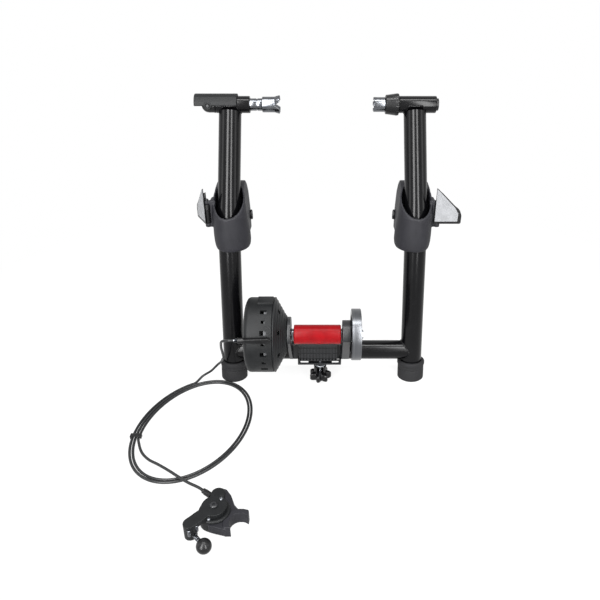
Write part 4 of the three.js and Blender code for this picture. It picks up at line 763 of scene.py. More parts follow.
def make_leg(word, side):
    """A rear leg, rounded at its pivot and bored for the pin."""
    pivot, foot, across = leg_line(side)
    length = (foot - pivot).length
    dome = [(LEG_R * math.sin(a), -LEG_R * math.cos(a)) for a in (i * math.pi / 20 for i in range(11))]
    profile = [(0, dome[0][1]), *dome[1:], (LEG_R, length), (0, length)]
    bore = turned_between(rod_profile(5.3, -25, 25), pivot, pivot + across, SMALL_SEGMENTS)
    mesh = cut_piece(*turned_between(profile, pivot, foot), [bore])
    name = f"rear_leg_{word}"
    piece_from(f"{name}_tube", mesh, gloss_powder_coat, f"{word}_leg", "gloss_black", name)


def cap_profile(tube_r, sink, floor):
    """A foot cap: a rounded cup with a grip groove and a rolled collar."""
    length, cup, collar = 35.0 - sink, 22.0, 23.0
    return [
        (0, -sink), (cup - 3, -sink), (cup, 3 - sink), (cup, length - 15), (cup - 0.7, length - 14.4),
        (cup - 0.7, length - 13.4), (cup, length - 12.8), (cup, length - 7.6), (collar, length - 6.4),
        (collar, length - 1.6), (collar - 1.6, length), (tube_r + 0.2, length), (tube_r + 0.2, floor),
        (0, floor),
    ]


def make_feet():
    """The four foot caps, cut flat by the ground."""
    ground = block((0, 300, -50), (900, 1400, 100))
    for word, side in SIDES:
        foot, knee, _ = tube_corners(side)
        pivot, end, _ = leg_line(side)
        start = end + (end - pivot).normalized() * 6.3
        for place, body, profile, line in (
            ("front", "frame", cap_profile(TUBE_R, 3.2, 9.3), (foot, knee)),
            ("rear", f"{word}_leg", cap_profile(LEG_R, 0.0, 6.1), (start, pivot)),
        ):
            mesh = cut_piece(*turned_between(profile, *line, ease=1.0), [ground])
            piece_from(f"{place}_cap_{word}", mesh, cap_rubber, body, "rubber", f"foot_cap_{place}_{word}")


def bevelled(points, faces, width, segments=3):
    """A mesh of flat sides with its edges rounded."""
    edge = {
        "width": width * MM, "segments": segments, "limit_method": "ANGLE", "angle_limit": math.radians(30),
    }
    return worked(raw_mesh(points, faces), ("BEVEL", edge))


def plate(outline, origin, along, out, thick):
    """Points and faces of a flat plate, its outline in (reach, height) from a point on the stand."""
    origin, along, out = Vector(origin), Vector(along), Vector(out)
    points = []
    for side in (0.0, thick):
        for reach, height in outline:
            points.append(here(origin + along * reach + Vector((0, 0, height)) + out * side))
    count = len(outline)
    ends = [list(range(count)), list(range(2 * count - 1, count - 1, -1))]
    return points, ends + bands((0, count), count)


def refinish(node, finish):
    """Gives a CAD node that stays its material."""
    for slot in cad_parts[node].material_slots:
        slot.material = look(finish)


# The shroud's sleeve: height, reach outward and inward from the tube, its middle and half depth
SLEEVE = (
    (226.0, 19.5, 27.6, 36.0, 25.5), (227.5, 22.0, 30.4, 37.6, 28.6), (231.0, 23.6, 32.0, 39.0, 30.6),
    (238.0, 24.8, 32.8, 40.0, 31.8), (250.0, 25.2, 32.4, 40.0, 32.0), (280.0, 24.8, 29.2, 41.0, 32.0),
    (306.0, 23.8, 25.4, 51.0, 31.0), (322.0, 22.0, 22.0, 59.5, 30.0), (336.0, 20.8, 20.8, 67.0, 29.0),
)
# What is cut off above the sleeve's rim, in (reach back, height)
RIM = (
    (-20.0, 264.0), (8.0, 279.0), (64.0, 312.5), (86.0, 317.0), (140.0, 319.0), (140.0, 400.0),
    (-20.0, 400.0),
)
# What is cut off outside the knuckle's front, in (reach from the tube, height): its inner and outer side
INNER_TRIM = ((28.6, 262), (25.4, 300), (21.6, 318), (20.6, 345), (70, 345), (70, 270))
OUTER_TRIM = ((25.2, 215), (24.4, 290), (22, 318), (20.6, 345), (70, 345), (70, 215))


def sleeve_rings(side, wall, low):
    """The sleeve's outline from a height up, less a wall."""
    rings = []
    for z, outward, inward, middle, half in SLEEVE:
        if z >= low:
            ring = []
            for u, v in around(SLEEVE_SEGMENTS):
                reach = (outward if u * side > 0 else inward) - wall
                ring.append((side * KNEE_X + u * reach, middle + (half - wall) * v, z))
            rings.append(ring)
    return rings


def make_knuckles():
    """The shrouds round the fold joints: a sleeve on the tube, the housing behind it and the wing's lugs."""
    for word, side in SIDES:
        x = side * KNEE_X
        foot, knee, top = tube_corners(side)
        rim = plate(RIM, (x - 60, 0, 0), (0, 1, 0), (1, 0, 0), 120)
        cavity = sleeve_rings(side, 2.6, 250.0)
        cavity[0] = [(px, py, 262.0) for px, py, _ in cavity[0]]
        tube_low = turned_between(rod_profile(TUBE_R + 0.5, 210, 276), foot, knee)
        tube_high = turned_between(rod_profile(TUBE_R + 0.5, 0, 110), knee, top)
        behind = block((x, 108, 262), (120, 100, 76))
        solid = bare_mesh(*lofted(sleeve_rings(side, 0.0, 0.0)))
        sleeve = cut_mesh(solid, [lofted(cavity), tube_low, tube_high, rim, behind])
        front = block((x, 0, 280), (140, 100, 140))
        trims = [
            plate(outline, (x, 30, 0), (way, 0, 0), (0, 1, 0), 100)
            for outline, way in ((INNER_TRIM, -side), (OUTER_TRIM, side))
        ]
        back = cut_mesh(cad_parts[f"knuckle_{word}"].data.copy(), [front, *trims, rim])
        lugs = []
        for low in (258.7, 295.3):
            lugs.append(bare_mesh(*turned_z(rod_profile(4.6, low, low + 6), side * WING_X, WING_Y, 24)))
            lugs.append(bare_mesh(*block((side * (WING_X - 7), WING_Y, low + 3), (13, 5, 6))))
        lugs.append(bare_mesh(*block((side * (WING_X - 8), WING_Y + 8, 280), (6, 22, 42.6))))
        mesh = moulded(merged(sleeve, back, *lugs), voxel=0.9, rounds=4, ratio=0.3)
        piece_from(f"fold_shroud_{word}", mesh, moulded_nylon, "frame", "shroud_grey",
                   f"knuckle_{word}", crease=50.0)
        pivot, _, across = leg_line(side)
        start, stop = (-25.0, 32.0) if side < 0 else (-32.0, 25.0)
        length = stop - start
        profile = [
            (0, 0), (7.0, 0), (8, 0.8), (8, 3), (5, 3), (5, length - 3), (8, length - 3), (8, length - 0.8),
            (7, length), (0, length),
        ]
        ends = (pivot + across * start, pivot + across * stop)
        made = turned_between(profile, *ends, SMALL_SEGMENTS, ease=0.4)
        piece(f"leg_bolt_{word}", *made, satin_pressed_steel, "frame", "zinc", f"leg_pin_{word}")


WING_X, WING_Y = 179.9, 40.0
WING_FACE = (
    (-4.7, 265.6), (34.5, 265.6), (36, 267.1), (36, 279), (33, 286.5), (25.5, 292.5), (-3, 320.5),
    (-4.7, 321.5),
)
WING_BLADE = ((5.2, 265.6), (34.5, 265.6), (36, 267.1), (36, 279), (33, 286.5), (25.5, 292.5), (5.2, 312.4))
LABEL = ((-4.4, 269.3), (30.6, 269.3), (31, 282), (24.8, 291.8), (-3.2, 319.6), (-4.4, 320.4))


def make_wings():
    """The lock wings: a blade, its face with a bare label, a roll round the pin and the pin itself."""
    for word, side, turn in (("left", -1, math.radians(118)), ("right", 1, 0.0)):
        along = Vector((math.cos(turn), math.sin(turn), 0))
        out = Vector((-along.y, along.x, 0)) * -side
        axis = Vector((side * WING_X, WING_Y, 0))
        for name, outline, low, thick, replaced in (
            ("wing_blade", WING_BLADE, -1.6, 6.7, [f"wing_{word}"]),
            ("wing_face", WING_FACE, 4.9, 1.2, []),
        ):
            mesh = bevelled(*plate(outline, axis + out * low, along, out, thick), 0.4, 2)
            piece_from(f"{name}_{word}", mesh, black_acetal, f"{word}_wing", "silver_label", *replaced)
        profile = sleeve_profile(4.6, 2.3, 265.0, 295.0)
        made = turned_z(profile, side * WING_X, WING_Y, SMALL_SEGMENTS, ease=0.4)
        piece(f"wing_roll_{word}", *made, black_acetal, f"{word}_wing", "silver_label")
        mesh = bevelled(*plate(LABEL, axis + out * 6.1, along, out, 0.4), 0.15, 2)
        piece_from(f"bare_label_{word}", mesh, silver_foil, f"{word}_wing", "silver_label")
        profile = [(0, 258.4), (2, 258.4), (2, 301.6), (3.4, 301.6), (3.4, 303), (2.8, 303.6), (0, 303.6)]
        made = turned_z(profile, side * WING_X, WING_Y, SMALL_SEGMENTS, ease=0.25)
        piece(f"wing_rivet_{word}", *made, satin_pressed_steel, "frame", "zinc", f"wing_pin_{word}")


def make_barrels():
    """The two short tubes on the axle line."""
    for word, start, end in (("left", -166.0, -113.0), ("right", 119.0, 177.0)):
        made = on_axle(sleeve_profile(BARREL_R, BARREL_BORE, start, end), ease=1.2)
        piece(f"barrel_{word}", *made, gloss_powder_coat, "frame", "gloss_black", f"axle_barrel_{word}")


def crowned_cup(node, body, back, mouth, body_r, mouth_r, notches, share):
    """An axle cup whose rim is cut into horns by notches, over a share of its depth."""
    depth = mouth - back
    way = 1 if depth > 0 else -1
    profile = [
        (0, back), (body_r - 0.7, back), (body_r, back + 0.7 * way), (body_r, back + depth * 0.7),
        (mouth_r, mouth - 0.7 * way), (mouth_r - 0.7, mouth), (mouth_r - 2.4, mouth),
        (5.5, back + depth * 0.45), (0, back + depth * 0.4),
    ]
    tip = mouth - depth * share
    out = mouth + way
    widen = mouth_r * math.pi / notches / 2 * (1 + 1 / abs(depth * share))
    cutters = []
    for u, v in around(notches):
        points = []
        for reach in (4.4, mouth_r + 1):
            for x, t in ((tip, 0.0), (out, -widen), (out, widen)):
                points.append(here((x, AXLE_Y + t * u - reach * v, AXLE_Z + t * v + reach * u)))
        cutters.append((points, [[0, 1, 2], [5, 4, 3], [0, 3, 4, 1], [1, 4, 5, 2], [2, 5, 3, 0]]))
    made = on_axle(profile, ease=0.5)
    piece_from(f"{node}_plated", cut_piece(*made, cutters), chrome_plate, body, "chrome", node)


def make_clamp():
    """The quick clamp on the left."""
    profile = [
        (0, -164.4), (2.4, -164.4), (2.4, -150), (9.2, -150), (9.2, -146), (6, -146), (6, -115),
        (9.2, -115), (9.2, -103), (8.5, -103), (8.5, -101), (9.2, -101), (9.2, -94.1), (0, -94.1),
    ]
    made = on_axle(profile, ease=0.4)
    piece("clamp_plunger", *made, chrome_plate, "clamp_spindle", "chrome", "left_spindle")
    crowned_cup("left_cup", "clamp_spindle", back=-93.8, mouth=-66.4, body_r=11.7, mouth_r=14.0,
                notches=4, share=0.32)
    turns, coil_r, wire_r, start, end = 4, 7.9, 1.0, -144.7, -127.3
    path = []
    for i in range(turns * SMALL_SEGMENTS + 1):
        share = i / (turns * SMALL_SEGMENTS)
        angle = 2 * math.pi * turns * share
        y, z = AXLE_Y + coil_r * math.cos(angle), AXLE_Z + coil_r * math.sin(angle)
        path.append(Vector((start + (end - start) * share, y, z)))
    piece("return_spring", *tube_along(path, wire_r, 10), turned_shaft, "frame", "steel", "clamp_spring")
    moulded_copy("clamp_handle", "clamp_lever", moulded_abs, "handle", "housing_grey",
                 voxel=0.6, rounds=5, ratio=0.3)
    moulded_copy("lever_fork", "clamp_yoke", black_acetal, "frame", "housing_grey",
                 voxel=0.6, rounds=4, ratio=0.3)
    edged_copy("clamp_cam", "lever_cam", turned_shaft, "handle", "steel", width=0.3)
    pin_x, half = -177, 16.3
    ends = [Vector((pin_x, AXLE_Y + reach, AXLE_Z)) for reach in (-half, half)]
    made = turned_between(rod_profile(2.6, 0, 2 * half), *ends, SMALL_SEGMENTS, ease=0.5)
    piece("lever_rivet", *made, satin_pressed_steel, "frame", "zinc", "lever_pin")


def make_stop():
    """The screwed stop on the right, with its collar."""
    crest_r, root_r, step = 9.2, 8.4, 1.5
    thread = [(0, 98.0), (8.6, 98.0)]
    thread += [(crest_r if i % 2 else root_r, 98.8 + i * step) for i in range(34)]
    thread += [(8.6, 150.0), (0, 150.0)]
    made = on_axle(thread, 48)
    piece("stop_screw", *made, chrome_plate, "stop_spindle", "chrome", "right_spindle", crease=50.0)
    crowned_cup("right_cup", "stop_spindle", back=97.7, mouth=79.2, body_r=11.0, mouth_r=11.0,
                notches=6, share=0.3)
    profile = [
        (9.6, 98.1), (13.7, 98.1), (14.4, 98.8), (14.4, 100.2), (16.6, 116.5), (15.9, 118.6), (9.6, 118.6),
        (9.6, 98.1),
    ]
    flute, out = rod_profile(1.6, 100.9, 120), 17.4
    flutes = [turned_x(flute, AXLE_Y + out * u, AXLE_Z + out * v, 16) for u, v in around(14)]
    mesh = cut_piece(*on_axle(profile, 84, ease=0.5), flutes)
    piece_from("fluted_collar", mesh, black_acetal, "collar", "knob_black", "lock_collar")
    profile = [(0, 168), (9.2, 168), (9.2, 180.5), (6.5, 180.5), (6.2, 179.9), (0, 179.9)]
    made = on_axle(profile, ease=0.6)
    piece("end_plug", *made, black_acetal, "frame", "knob_black", "barrel_plug")


def make_roller():
    """What spins: the roller between its end bushes, its shaft and the flywheel."""
    made = on_roller(sleeve_profile(ROLLER_R, ROLLER_BORE, ROLLER_LEFT, ROLLER_RIGHT), 96, ease=1.6)
    piece("roller_sleeve", *made, roller_urethane, "rotor", "crimson", "roller")
    for word, start, end in (("left", -49.2, -45.2), ("right", 29.2, 30.8)):
        made = on_roller(sleeve_profile(9.0, 5.1, start, end), ease=0.5)
        piece(f"roller_bush_{word}", *made, chrome_plate, "rotor", "steel")
    made = on_roller(rod_profile(5, -97, 65), 48, ease=0.8)
    piece("roller_shaft", *made, turned_shaft, "rotor", "steel", "roller_axle")
    # the web between hub and rim lies deeper on both faces
    web_in, web_out = FLYWHEEL_IN + FLYWHEEL_DISH, FLYWHEEL_OUT - FLYWHEEL_DISH
    profile = [
        (ROLLER_BORE, FLYWHEEL_IN), (FLYWHEEL_HUB, FLYWHEEL_IN), (FLYWHEEL_HUB, web_in),
        (FLYWHEEL_RIM, web_in), (FLYWHEEL_RIM, FLYWHEEL_IN), (FLYWHEEL_R, FLYWHEEL_IN),
        (FLYWHEEL_R, FLYWHEEL_OUT), (FLYWHEEL_RIM, FLYWHEEL_OUT), (FLYWHEEL_RIM, web_out),
        (FLYWHEEL_HUB, web_out), (FLYWHEEL_HUB, FLYWHEEL_OUT), (ROLLER_BORE, FLYWHEEL_OUT),
        (ROLLER_BORE, FLYWHEEL_IN),
    ]
    made = on_roller(profile, 144, ease=1.1)
    piece("steel_flywheel", *made, turned_flywheel, "rotor", "steel", "flywheel", crease=30.0)
    edged_copy("axle_nut", "shaft_nut", zinc_plate, "rotor", "zinc", width=0.5)
    for word, start, end in (("left", -55.0, -49.5), ("right", 31.0, 44.5)):
        profile = [
            (5.3, start), (7, start), (7.5, start + 0.5), (10.8, start + 0.5), (11.3, start), (13, start),
            (13, end), (11.3, end), (10.8, end - 0.5), (7.5, end - 0.5), (7, end), (5.3, end), (5.3, start),
        ]
        made = on_roller(profile, ease=0.2)
        piece(f"ball_bearing_{word}", *made, turned_shaft, "roller_unit", "steel", f"bearing_{word}")


def make_cradle():
    """The pressed cradle, its ribbed saddle, the band over the crossbar and the bracket of the knob."""
    moulded_copy("cradle", "pressed_cradle", satin_pressed_steel, "roller_unit", "black_steel",
                 voxel=0.9, rounds=3, ratio=0.3)
    middle_x, face_y, groove_step = -7.5, -24.6, 5.27
    saddle = block((middle_x, -18.3, 62), (63, 11.4, 32))
    grooves = [block((-36.5 + groove_step * i, face_y, 61), (2.4, 7, 28)) for i in range(12)]
    rows = [block((middle_x, face_y, z), (70, 3, 1.6)) for z in (51.5, 61.5, 71.5)]
    mesh = cut_mesh(cut_piece(*saddle, grooves), rows)
    piece_from("ribbed_saddle", mesh, satin_pressed_steel, "roller_unit", "black_steel", "clamp_saddle")
    flange = block((-5, -20, 34), (80, 19, 13))
    band = cut_mesh(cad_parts["clamp_strap"].data.copy(), [flange])
    piece_from("clamp_band", band, satin_pressed_steel, "roller_unit", "black_steel", "clamp_strap")
    bracket = (
        (-41, 39.4), (-40, 38.2), (30, 38.2), (31, 39.4), (31, 47), (28.2, 47), (28.2, 41), (-38.2, 41),
        (-38.2, 47), (-41, 47),
    )
    made = plate(bracket, (0, -23.4, 0), (1, 0, 0), (0, 1, 0), 12.2)
    windows = [block((-25.5, -16.6, 40), (23, 8.4, 8)), block((16.5, -16.6, 40), (21, 8.4, 8))]
    mesh = cut_piece(*made, windows)
    piece_from("clamp_bracket", mesh, satin_pressed_steel, "roller_unit", "black_steel")


KNOB_X, KNOB_Y = -4.0, -18.3
STAR_R, STAR_LOBE, STAR_LOBES, STAR_SEGMENTS = 15.4, 3.2, 7, 112
# Heights, and how much of the star's width is left at each, for rounded edges
STAR_EDGE = ((9, 0.84), (9.5, 0.92), (10.6, 0.98), (12, 1), (18.6, 1), (20.2, 0.97), (21.4, 0.88))


def make_knob():
    """The star knob with two cheeks, between which its bolt shows."""
    rings = []
    for height, share in STAR_EDGE:
        ring = []
        for k in range(STAR_SEGMENTS):
            angle = 2 * math.pi * k / STAR_SEGMENTS
            reach = (STAR_R + STAR_LOBE * math.cos(angle * STAR_LOBES)) * share
            ring.append((KNOB_X + reach * math.cos(angle), KNOB_Y + reach * math.sin(angle), height))
        rings.append(ring)
    well = turned_z(rod_profile(3.4, 10.4, 23), KNOB_X, KNOB_Y, SMALL_SEGMENTS)
    mesh = cut_piece(*lofted(rings), [well])
    piece_from("star_grip", mesh, black_acetal, "knob", "knob_black", "star_knob")
    hub = turned_z(rod_profile(10.4, 21.3, 35.4), KNOB_X, KNOB_Y, ease=0.8)
    gap = block((KNOB_X, KNOB_Y, 30), (10.6, 40, 30))
    piece_from("knob_cheeks", cut_piece(*hub, [gap]), black_acetal, "knob", "knob_black")
    profile = [
        (0, 10.7), (3, 10.7), (3, 21.5), (4.6, 21.5), (4.6, 26.4), (3.4, 26.9), (3.4, 28.1), (4.6, 28.6),
        (4.6, 35.2), (3, 35.2), (3, 47), (0, 47),
    ]
    made = turned_z(profile, KNOB_X, KNOB_Y, 48, ease=0.3)
    piece("knob_bolt", *made, chrome_plate, "knob", "chrome", "knob_screw")
    made = turned_z(sleeve_profile(9, 3.3, 35.8, 37.4), KNOB_X, KNOB_Y, ease=0.4)
    piece("plain_washer", *made, zinc_plate, "washer", "zinc", "knob_washer")


def drum_cutter(x, radius, size, angle):
    """A block through the drum's wall, turned round its axis."""
    return block((x, ROLLER_Y, ROLLER_Z + radius), size, (0, ROLLER_Y, ROLLER_Z), angle)


def make_drum():
    """The magnetic unit: a vented drum, its ribbed cone cover and a small lid on top."""
    vents = bpy.context.scene.trainer_sizes.vent_width / MM
    profile = [
        (0, -122.2), (32.5, -120.8), (50.2, -119), (57.2, -116), (DRUM_R, -112.5), (DRUM_R, -75.4),
        (55.5, -75.4), (55.5, -112.5), (8.5, -115.6), (0, -115.6),
    ]
    made = on_roller(profile, DRUM_SEGMENTS, ease=2.2)
    cutters = []
    for i in range(22):
        angle = 2 * math.pi * (i + 0.5) / 22
        width, long = (vents, 10) if i % 2 else (vents * 0.7, 6)
        cutters.append(drum_cutter(-88.5, DRUM_R, (long, width, 14), angle))
    mesh = cut_piece(*made, cutters)
    piece_from("drum_shell", mesh, moulded_abs, "roller_unit", "housing_grey", "unit_housing", crease=40.0)
    profile = [(DRUM_R, -75), (DRUM_R, -72.8)]
    for rib in range(5):
        radius, place = DRUM_R - 5.3 * rib, -72.8 + 3.0 * rib
        profile += [(radius - 1.2, place + 0.1), (radius - 4.2, place + 1.9), (radius - 5.0, place + 3.0)]
    profile += [
        (31.4, -57.7), (29.5, -55.6), (8, -55.6), (8, -58.8), (28.5, -58.8), (41, -68), (55.5, -75),
        (DRUM_R, -75),
    ]
    made = on_roller(profile, DRUM_SEGMENTS, ease=0.5)
    cutters = [
        drum_cutter(-66.5, 47, (3.0, 6.5, 22), 2 * math.pi * i / 8 + math.pi / 16) for i in range(8)
    ]
    mesh = cut_piece(*made, cutters)
    piece_from("drum_cover", mesh, moulded_abs, "roller_unit", "housing_grey", "unit_cover")
    made = block((-87, ROLLER_Y, ROLLER_Z + DRUM_R - 0.2), (24, 22, 7))
    piece_from("drum_lid", bevelled(*made, 1.0), moulded_abs, "roller_unit", "housing_grey")
    refinish("eddy_disc", satin_pressed_steel)
    refinish("magnet_ring", magnet_ferrite)
    refinish("magnet_carrier", magnet_ferrite)
    outline = (
        (-124.8, 130.6), (-92, 129.4), (-80, 128.8), (-77.2, 131), (-77.2, 135.8), (-80, 138),
        (-92, 137.4), (-124.8, 136.2),
    )
    arm = plate(outline, (0, -103.4, 0), (1, 0, 0), (0, 1, 0), 6)
    collar = turned_x(rod_profile(4.4, -125.2, -116), ADJUSTER_Y, ADJUSTER_Z, SMALL_SEGMENTS)
    mesh = moulded(merged(bare_mesh(*arm), bare_mesh(*collar)), voxel=0.5, rounds=3, ratio=0.3)
    piece_from("cable_arm", mesh, black_acetal, "roller_unit", "housing_grey", "cable_boss", crease=50.0)
    thread = [(0, -130.8), (2.3, -130.8), (2.3, -129.4)]
    for i in range(6):
        thread += [(3.2, -129.2 + i * 0.9), (2.7, -128.75 + i * 0.9)]
    thread += [(3.2, -123.8), (3.2, -121.9), (0, -121.9)]
    made = turned_x(thread, ADJUSTER_Y, ADJUSTER_Z, SMALL_SEGMENTS)
    piece("barrel_adjuster", *made, chrome_plate, "roller_unit", "chrome", "cable_adjuster", crease=50.0)


REMOTE_X, REMOTE_Y = -134.0, -308.0
# The web between the housing and the bar clamp, from the pivot
REMOTE_WEB = (
    (-12, -6), (-4, 30), (4, 38), (10, 35.5), (17, 26), (23.5, 10.4), (33, -1), (41, -4.6), (42, -8),
    (35, -17), (27, -20), (17, -27.2), (6, -24.4), (-4, -21.4),
)
BALL, BALL_R = Vector((REMOTE_X - 5, REMOTE_Y - 47, 10.3)), 9.3
LEVER_END = Vector((REMOTE_X - 25, REMOTE_Y - 26, 10.3))


def screw_head(name, x, y, low, radius, body):
    """A domed screw head with a hexagon socket."""
    profile = [(0, low), (radius, low), (radius, low + 1.2), (radius * 0.7, low + 2.2), (0, low + 2.4)]
    socket = turned_z(rod_profile(radius * 0.45, low + 1.0, low + 4), x, y, 6)
    made = turned_z(profile, x, y, SMALL_SEGMENTS, ease=0.5)
    return piece_from(name, cut_piece(*made, [socket]), chrome_plate, body, "chrome")


def make_remote():
    """The remote on its cable: housing, bar clamp, lever, stem and ball."""
    rings = [[(REMOTE_X + x, REMOTE_Y + y, z) for x, y in REMOTE_WEB] for z in (2.0, 14.5)]
    web = bare_mesh(*lofted(rings))
    bar = turned_z(rod_profile(13.0, -5, 30), REMOTE_X + 33, REMOTE_Y - 17)
    low_horn = block((REMOTE_X + 30, REMOTE_Y - 41, 10), (60, 30, 40))
    high_horn = block((REMOTE_X + 52, REMOTE_Y - 5, 10), (18.4, 60, 40))
    jaw = cut_mesh(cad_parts["remote_clamp"].data.copy(), [low_horn, high_horn])
    clamp = moulded(merged(jaw, cut_mesh(web, [bar])), voxel=0.5, rounds=4, ratio=0.25)
    pieces = [
        moulded_copy("remote_housing", "remote_body", moulded_abs, "frame", "housing_grey",
                     voxel=0.5, rounds=5, ratio=0.25),
        piece_from("bar_clamp", clamp, moulded_nylon, "frame", "housing_grey", "remote_clamp", crease=50.0),
        moulded_copy("remote_lever", "shift_lever", moulded_abs, "remote_arm", "housing_grey",
                     voxel=0.45, rounds=4, ratio=0.25),
    ]
    slopes = [math.pi * i / 32 for i in range(1, 29)]
    sphere = [(BALL_R * math.sin(slope), -BALL_R * math.cos(slope)) for slope in slopes]
    sphere = [(0, -BALL_R), *sphere, (3.9, 8.7), (0, 8.7)]
    way = (LEVER_END - BALL).normalized()
    made = turned_between(sphere, BALL, BALL + way, 48)
    pieces.append(piece("ball_grip", *made, black_acetal, "remote_arm", "knob_black", "ball_knob"))
    profile = [
        (0, 8.4), (2.8, 8.4), (2.8, 11.2), (2.2, 11.6), (2.2, 12.4), (2.8, 12.8), (2.8, 22.5), (0, 22.5),
    ]
    made = turned_between(profile, BALL, LEVER_END, SMALL_SEGMENTS, ease=0.2)
    pieces.append(piece("lever_stem", *made, chrome_plate, "remote_arm", "chrome"))
    across = Vector((way.y, -way.x, 0))
    for word, side in (("near", 1), ("far", -1)):
        middle = LEVER_END - way * 6.6 + across * (side * 5.2)
        ends = (Vector((middle.x, middle.y, 12.0)), Vector((middle.x, middle.y, 21.5)))
        made = turned_between(rod_profile(2.1, 0, 9.5), *ends, SMALL_SEGMENTS, ease=0.9)
        pieces.append(piece(f"stem_pin_{word}", *made, chrome_plate, "remote_arm", "chrome"))
    profile = [(0, 9.3), (3, 9.3), (3, 25.1), (5, 25.1), (5, 26.3), (3.6, 27.4), (0, 27.5)]
    socket = turned_z(rod_profile(1.9, 26.2, 29), REMOTE_X, REMOTE_Y, 6)
    made = turned_z(profile, REMOTE_X, REMOTE_Y, SMALL_SEGMENTS, ease=0.3)
    mesh = cut_piece(*made, [socket])
    pieces.append(piece_from("pivot_screw", mesh, satin_pressed_steel, "frame", "chrome", "lever_screw"))
    pieces.append(screw_head("case_screw", -126.6, -297.8, low=24.4, radius=2.6, body="remote_arm"))
    pieces.append(screw_head("lever_end_screw", -136.6, -329.0, low=24.4, radius=2.3, body="remote_arm"))
    profile = [
        (2.15, 0), (3.2, 0), (3.6, 0.5), (3.6, 2.2), (3.3, 2.6), (3.3, 3.6), (4, 4.2), (4, 15), (2.15, 15),
        (2.15, 0),
    ]
    made = turned_between(profile, FERRULE_MOUTH, FERRULE_MOUTH + FERRULE_WAY, SMALL_SEGMENTS, ease=0.2)
    pieces.append(piece("cable_ferrule", *made, black_acetal, "frame", "knob_black", "remote_ferrule"))
    return pieces


def make_tie():
    """The tie round the cable's loops."""
    return edged_copy("cable_tie", "twist_tie", black_acetal, "frame", "knob_black", width=0.3)


# Stage
def area_light(name, place, target, size, power):
    """A softbox that faces a point."""
    light = bpy.data.lights.new(name, "AREA")
    light.shape = "RECTANGLE"
    light.size, light.size_y = size
    light.energy = power
    item = add_object(name, light)
    item.location = place
    item.rotation_euler = (Vector(target) - Vector(place)).to_track_quat("-Z", "Y").to_euler()


def backdrop_paper():
    # Seamless studio paper: matt white, which keeps the stand's faint shadow.
    material, tree, output, place = start_material("backdrop_paper")
    pulp = {"Vector": place, "Scale": per_metre(4.0), "Detail": 3.0}
    fibre = add_node(tree, "ShaderNodeTexNoise", pulp).outputs["Fac"]
    tint = add_node(tree, "ShaderNodeValToRGB", {"Fac": fibre})
    for stop, tone in zip(tint.color_ramp.elements, ("#f2f2f2", "#f6f6f6")):
        stop.color = linear(tone)
    paper = add_node(tree, "ShaderNodeBsdfPrincipled", {
        "Base Color": tint.outputs["Color"], "Roughness": 0.9, "Specular IOR Level": 0.2,
    })
    white = add_node(tree, "ShaderNodeEmission", {"Color": WHITE, "Strength": 1.0})
    distance = add_node(tree, "ShaderNodeVectorMath", {0: place}, operation="LENGTH").outputs["Value"]
    away = add_node(tree, "ShaderNodeMapRange", {
        "Value": distance, "From Min": 0.4, "From Max": 0.8, "To Min": 0.86, "To Max": 1.0,
    }).outputs["Result"]
    share = add_node(tree, "ShaderNodeMath", {0: studio_rays(tree), 1: away}, operation="MULTIPLY")
    mixed = add_node(tree, "ShaderNodeMixShader", {
        0: share.outputs["Value"], 1: paper.outputs["BSDF"], 2: white.outputs["Emission"],
    })
    tree.links.new(mixed.outputs["Shader"], output.inputs["Surface"])
    return material


def make_stage():
    """The camera at the photograph's angle, the floor, the white surround and the softboxes."""
    scene = bpy.context.scene
    camera_data = bpy.data.cameras.new("photo_camera")
    camera_data.lens, camera_data.sensor_width = CAMERA_LENS, CAMERA_SENSOR
    camera_data.shift_x = CAMERA_SHIFT_X
    camera_data.clip_start = 0.01
    camera = add_object("photo_camera", camera_data)
    camera.location = CAMERA_PLACE
    camera.rotation_euler = (CAMERA_PITCH, 0.0, 0.0)
    scene.camera = camera
    corners = [(x * FLOOR_REACH, y * FLOOR_REACH, 0) for x, y in ((-1, -1), (1, -1), (1, 1), (-1, 1))]
    floor_mesh = raw_mesh(corners, [[0, 1, 2, 3]], "floor")
    floor_mesh.materials.append(look(backdrop_paper))
    floor = add_object("floor", floor_mesh)
    world = bpy.data.worlds.new("white_studio")
    world.use_nodes = True
    tree = world.node_tree
    tree.nodes.clear()
    share = {"Value": studio_rays(tree), "To Min": 0.55, "To Max": 1.0}
    strength = add_node(tree, "ShaderNodeMapRange", share).outputs["Result"]
    background = add_node(tree, "ShaderNodeBackground", {"Color": WHITE, "Strength": strength})
    output = add_node(tree, "ShaderNodeOutputWorld")
    tree.links.new(background.outputs["Background"], output.inputs["Surface"])
    scene.world = world
    scene.view_settings.view_transform = "Standard"
    # each lamp's place, what it faces, its width and height in metres, and its power in watts
    area_light("left_strip", (-0.44, -1.15, 0.8), (-0.1, -0.2, 0.45), (0.34, 1.5), 32)
    area_light("right_strip", (0.44, -1.15, 0.8), (0.1, -0.2, 0.45), (0.24, 1.5), 22)
    area_light("top_strip", (0.0, -0.45, 1.7), (0, -0.1, 0.43), (1.4, 0.25), 22)
    area_light("left_softbox", (-1.7, -0.6, 0.9), (0, -0.1, 0.25), (0.5, 1.7), 7)
    area_light("right_softbox", (1.7, -0.6, 0.9), (0, -0.1, 0.25), (0.5, 1.7), 7)


# The add-on's settings
def colour(name, description, code):
    return bpy.props.FloatVectorProperty(
        name=name, description=description, subtype="COLOR", size=4, min=0.0, max=1.0, default=linear(code)
    )


def distance(name, description, least, most, usual):
    return bpy.props.FloatProperty(
        name=name, description=description, subtype="DISTANCE", unit="LENGTH", min=least, max=most,
        default=usual,
    )


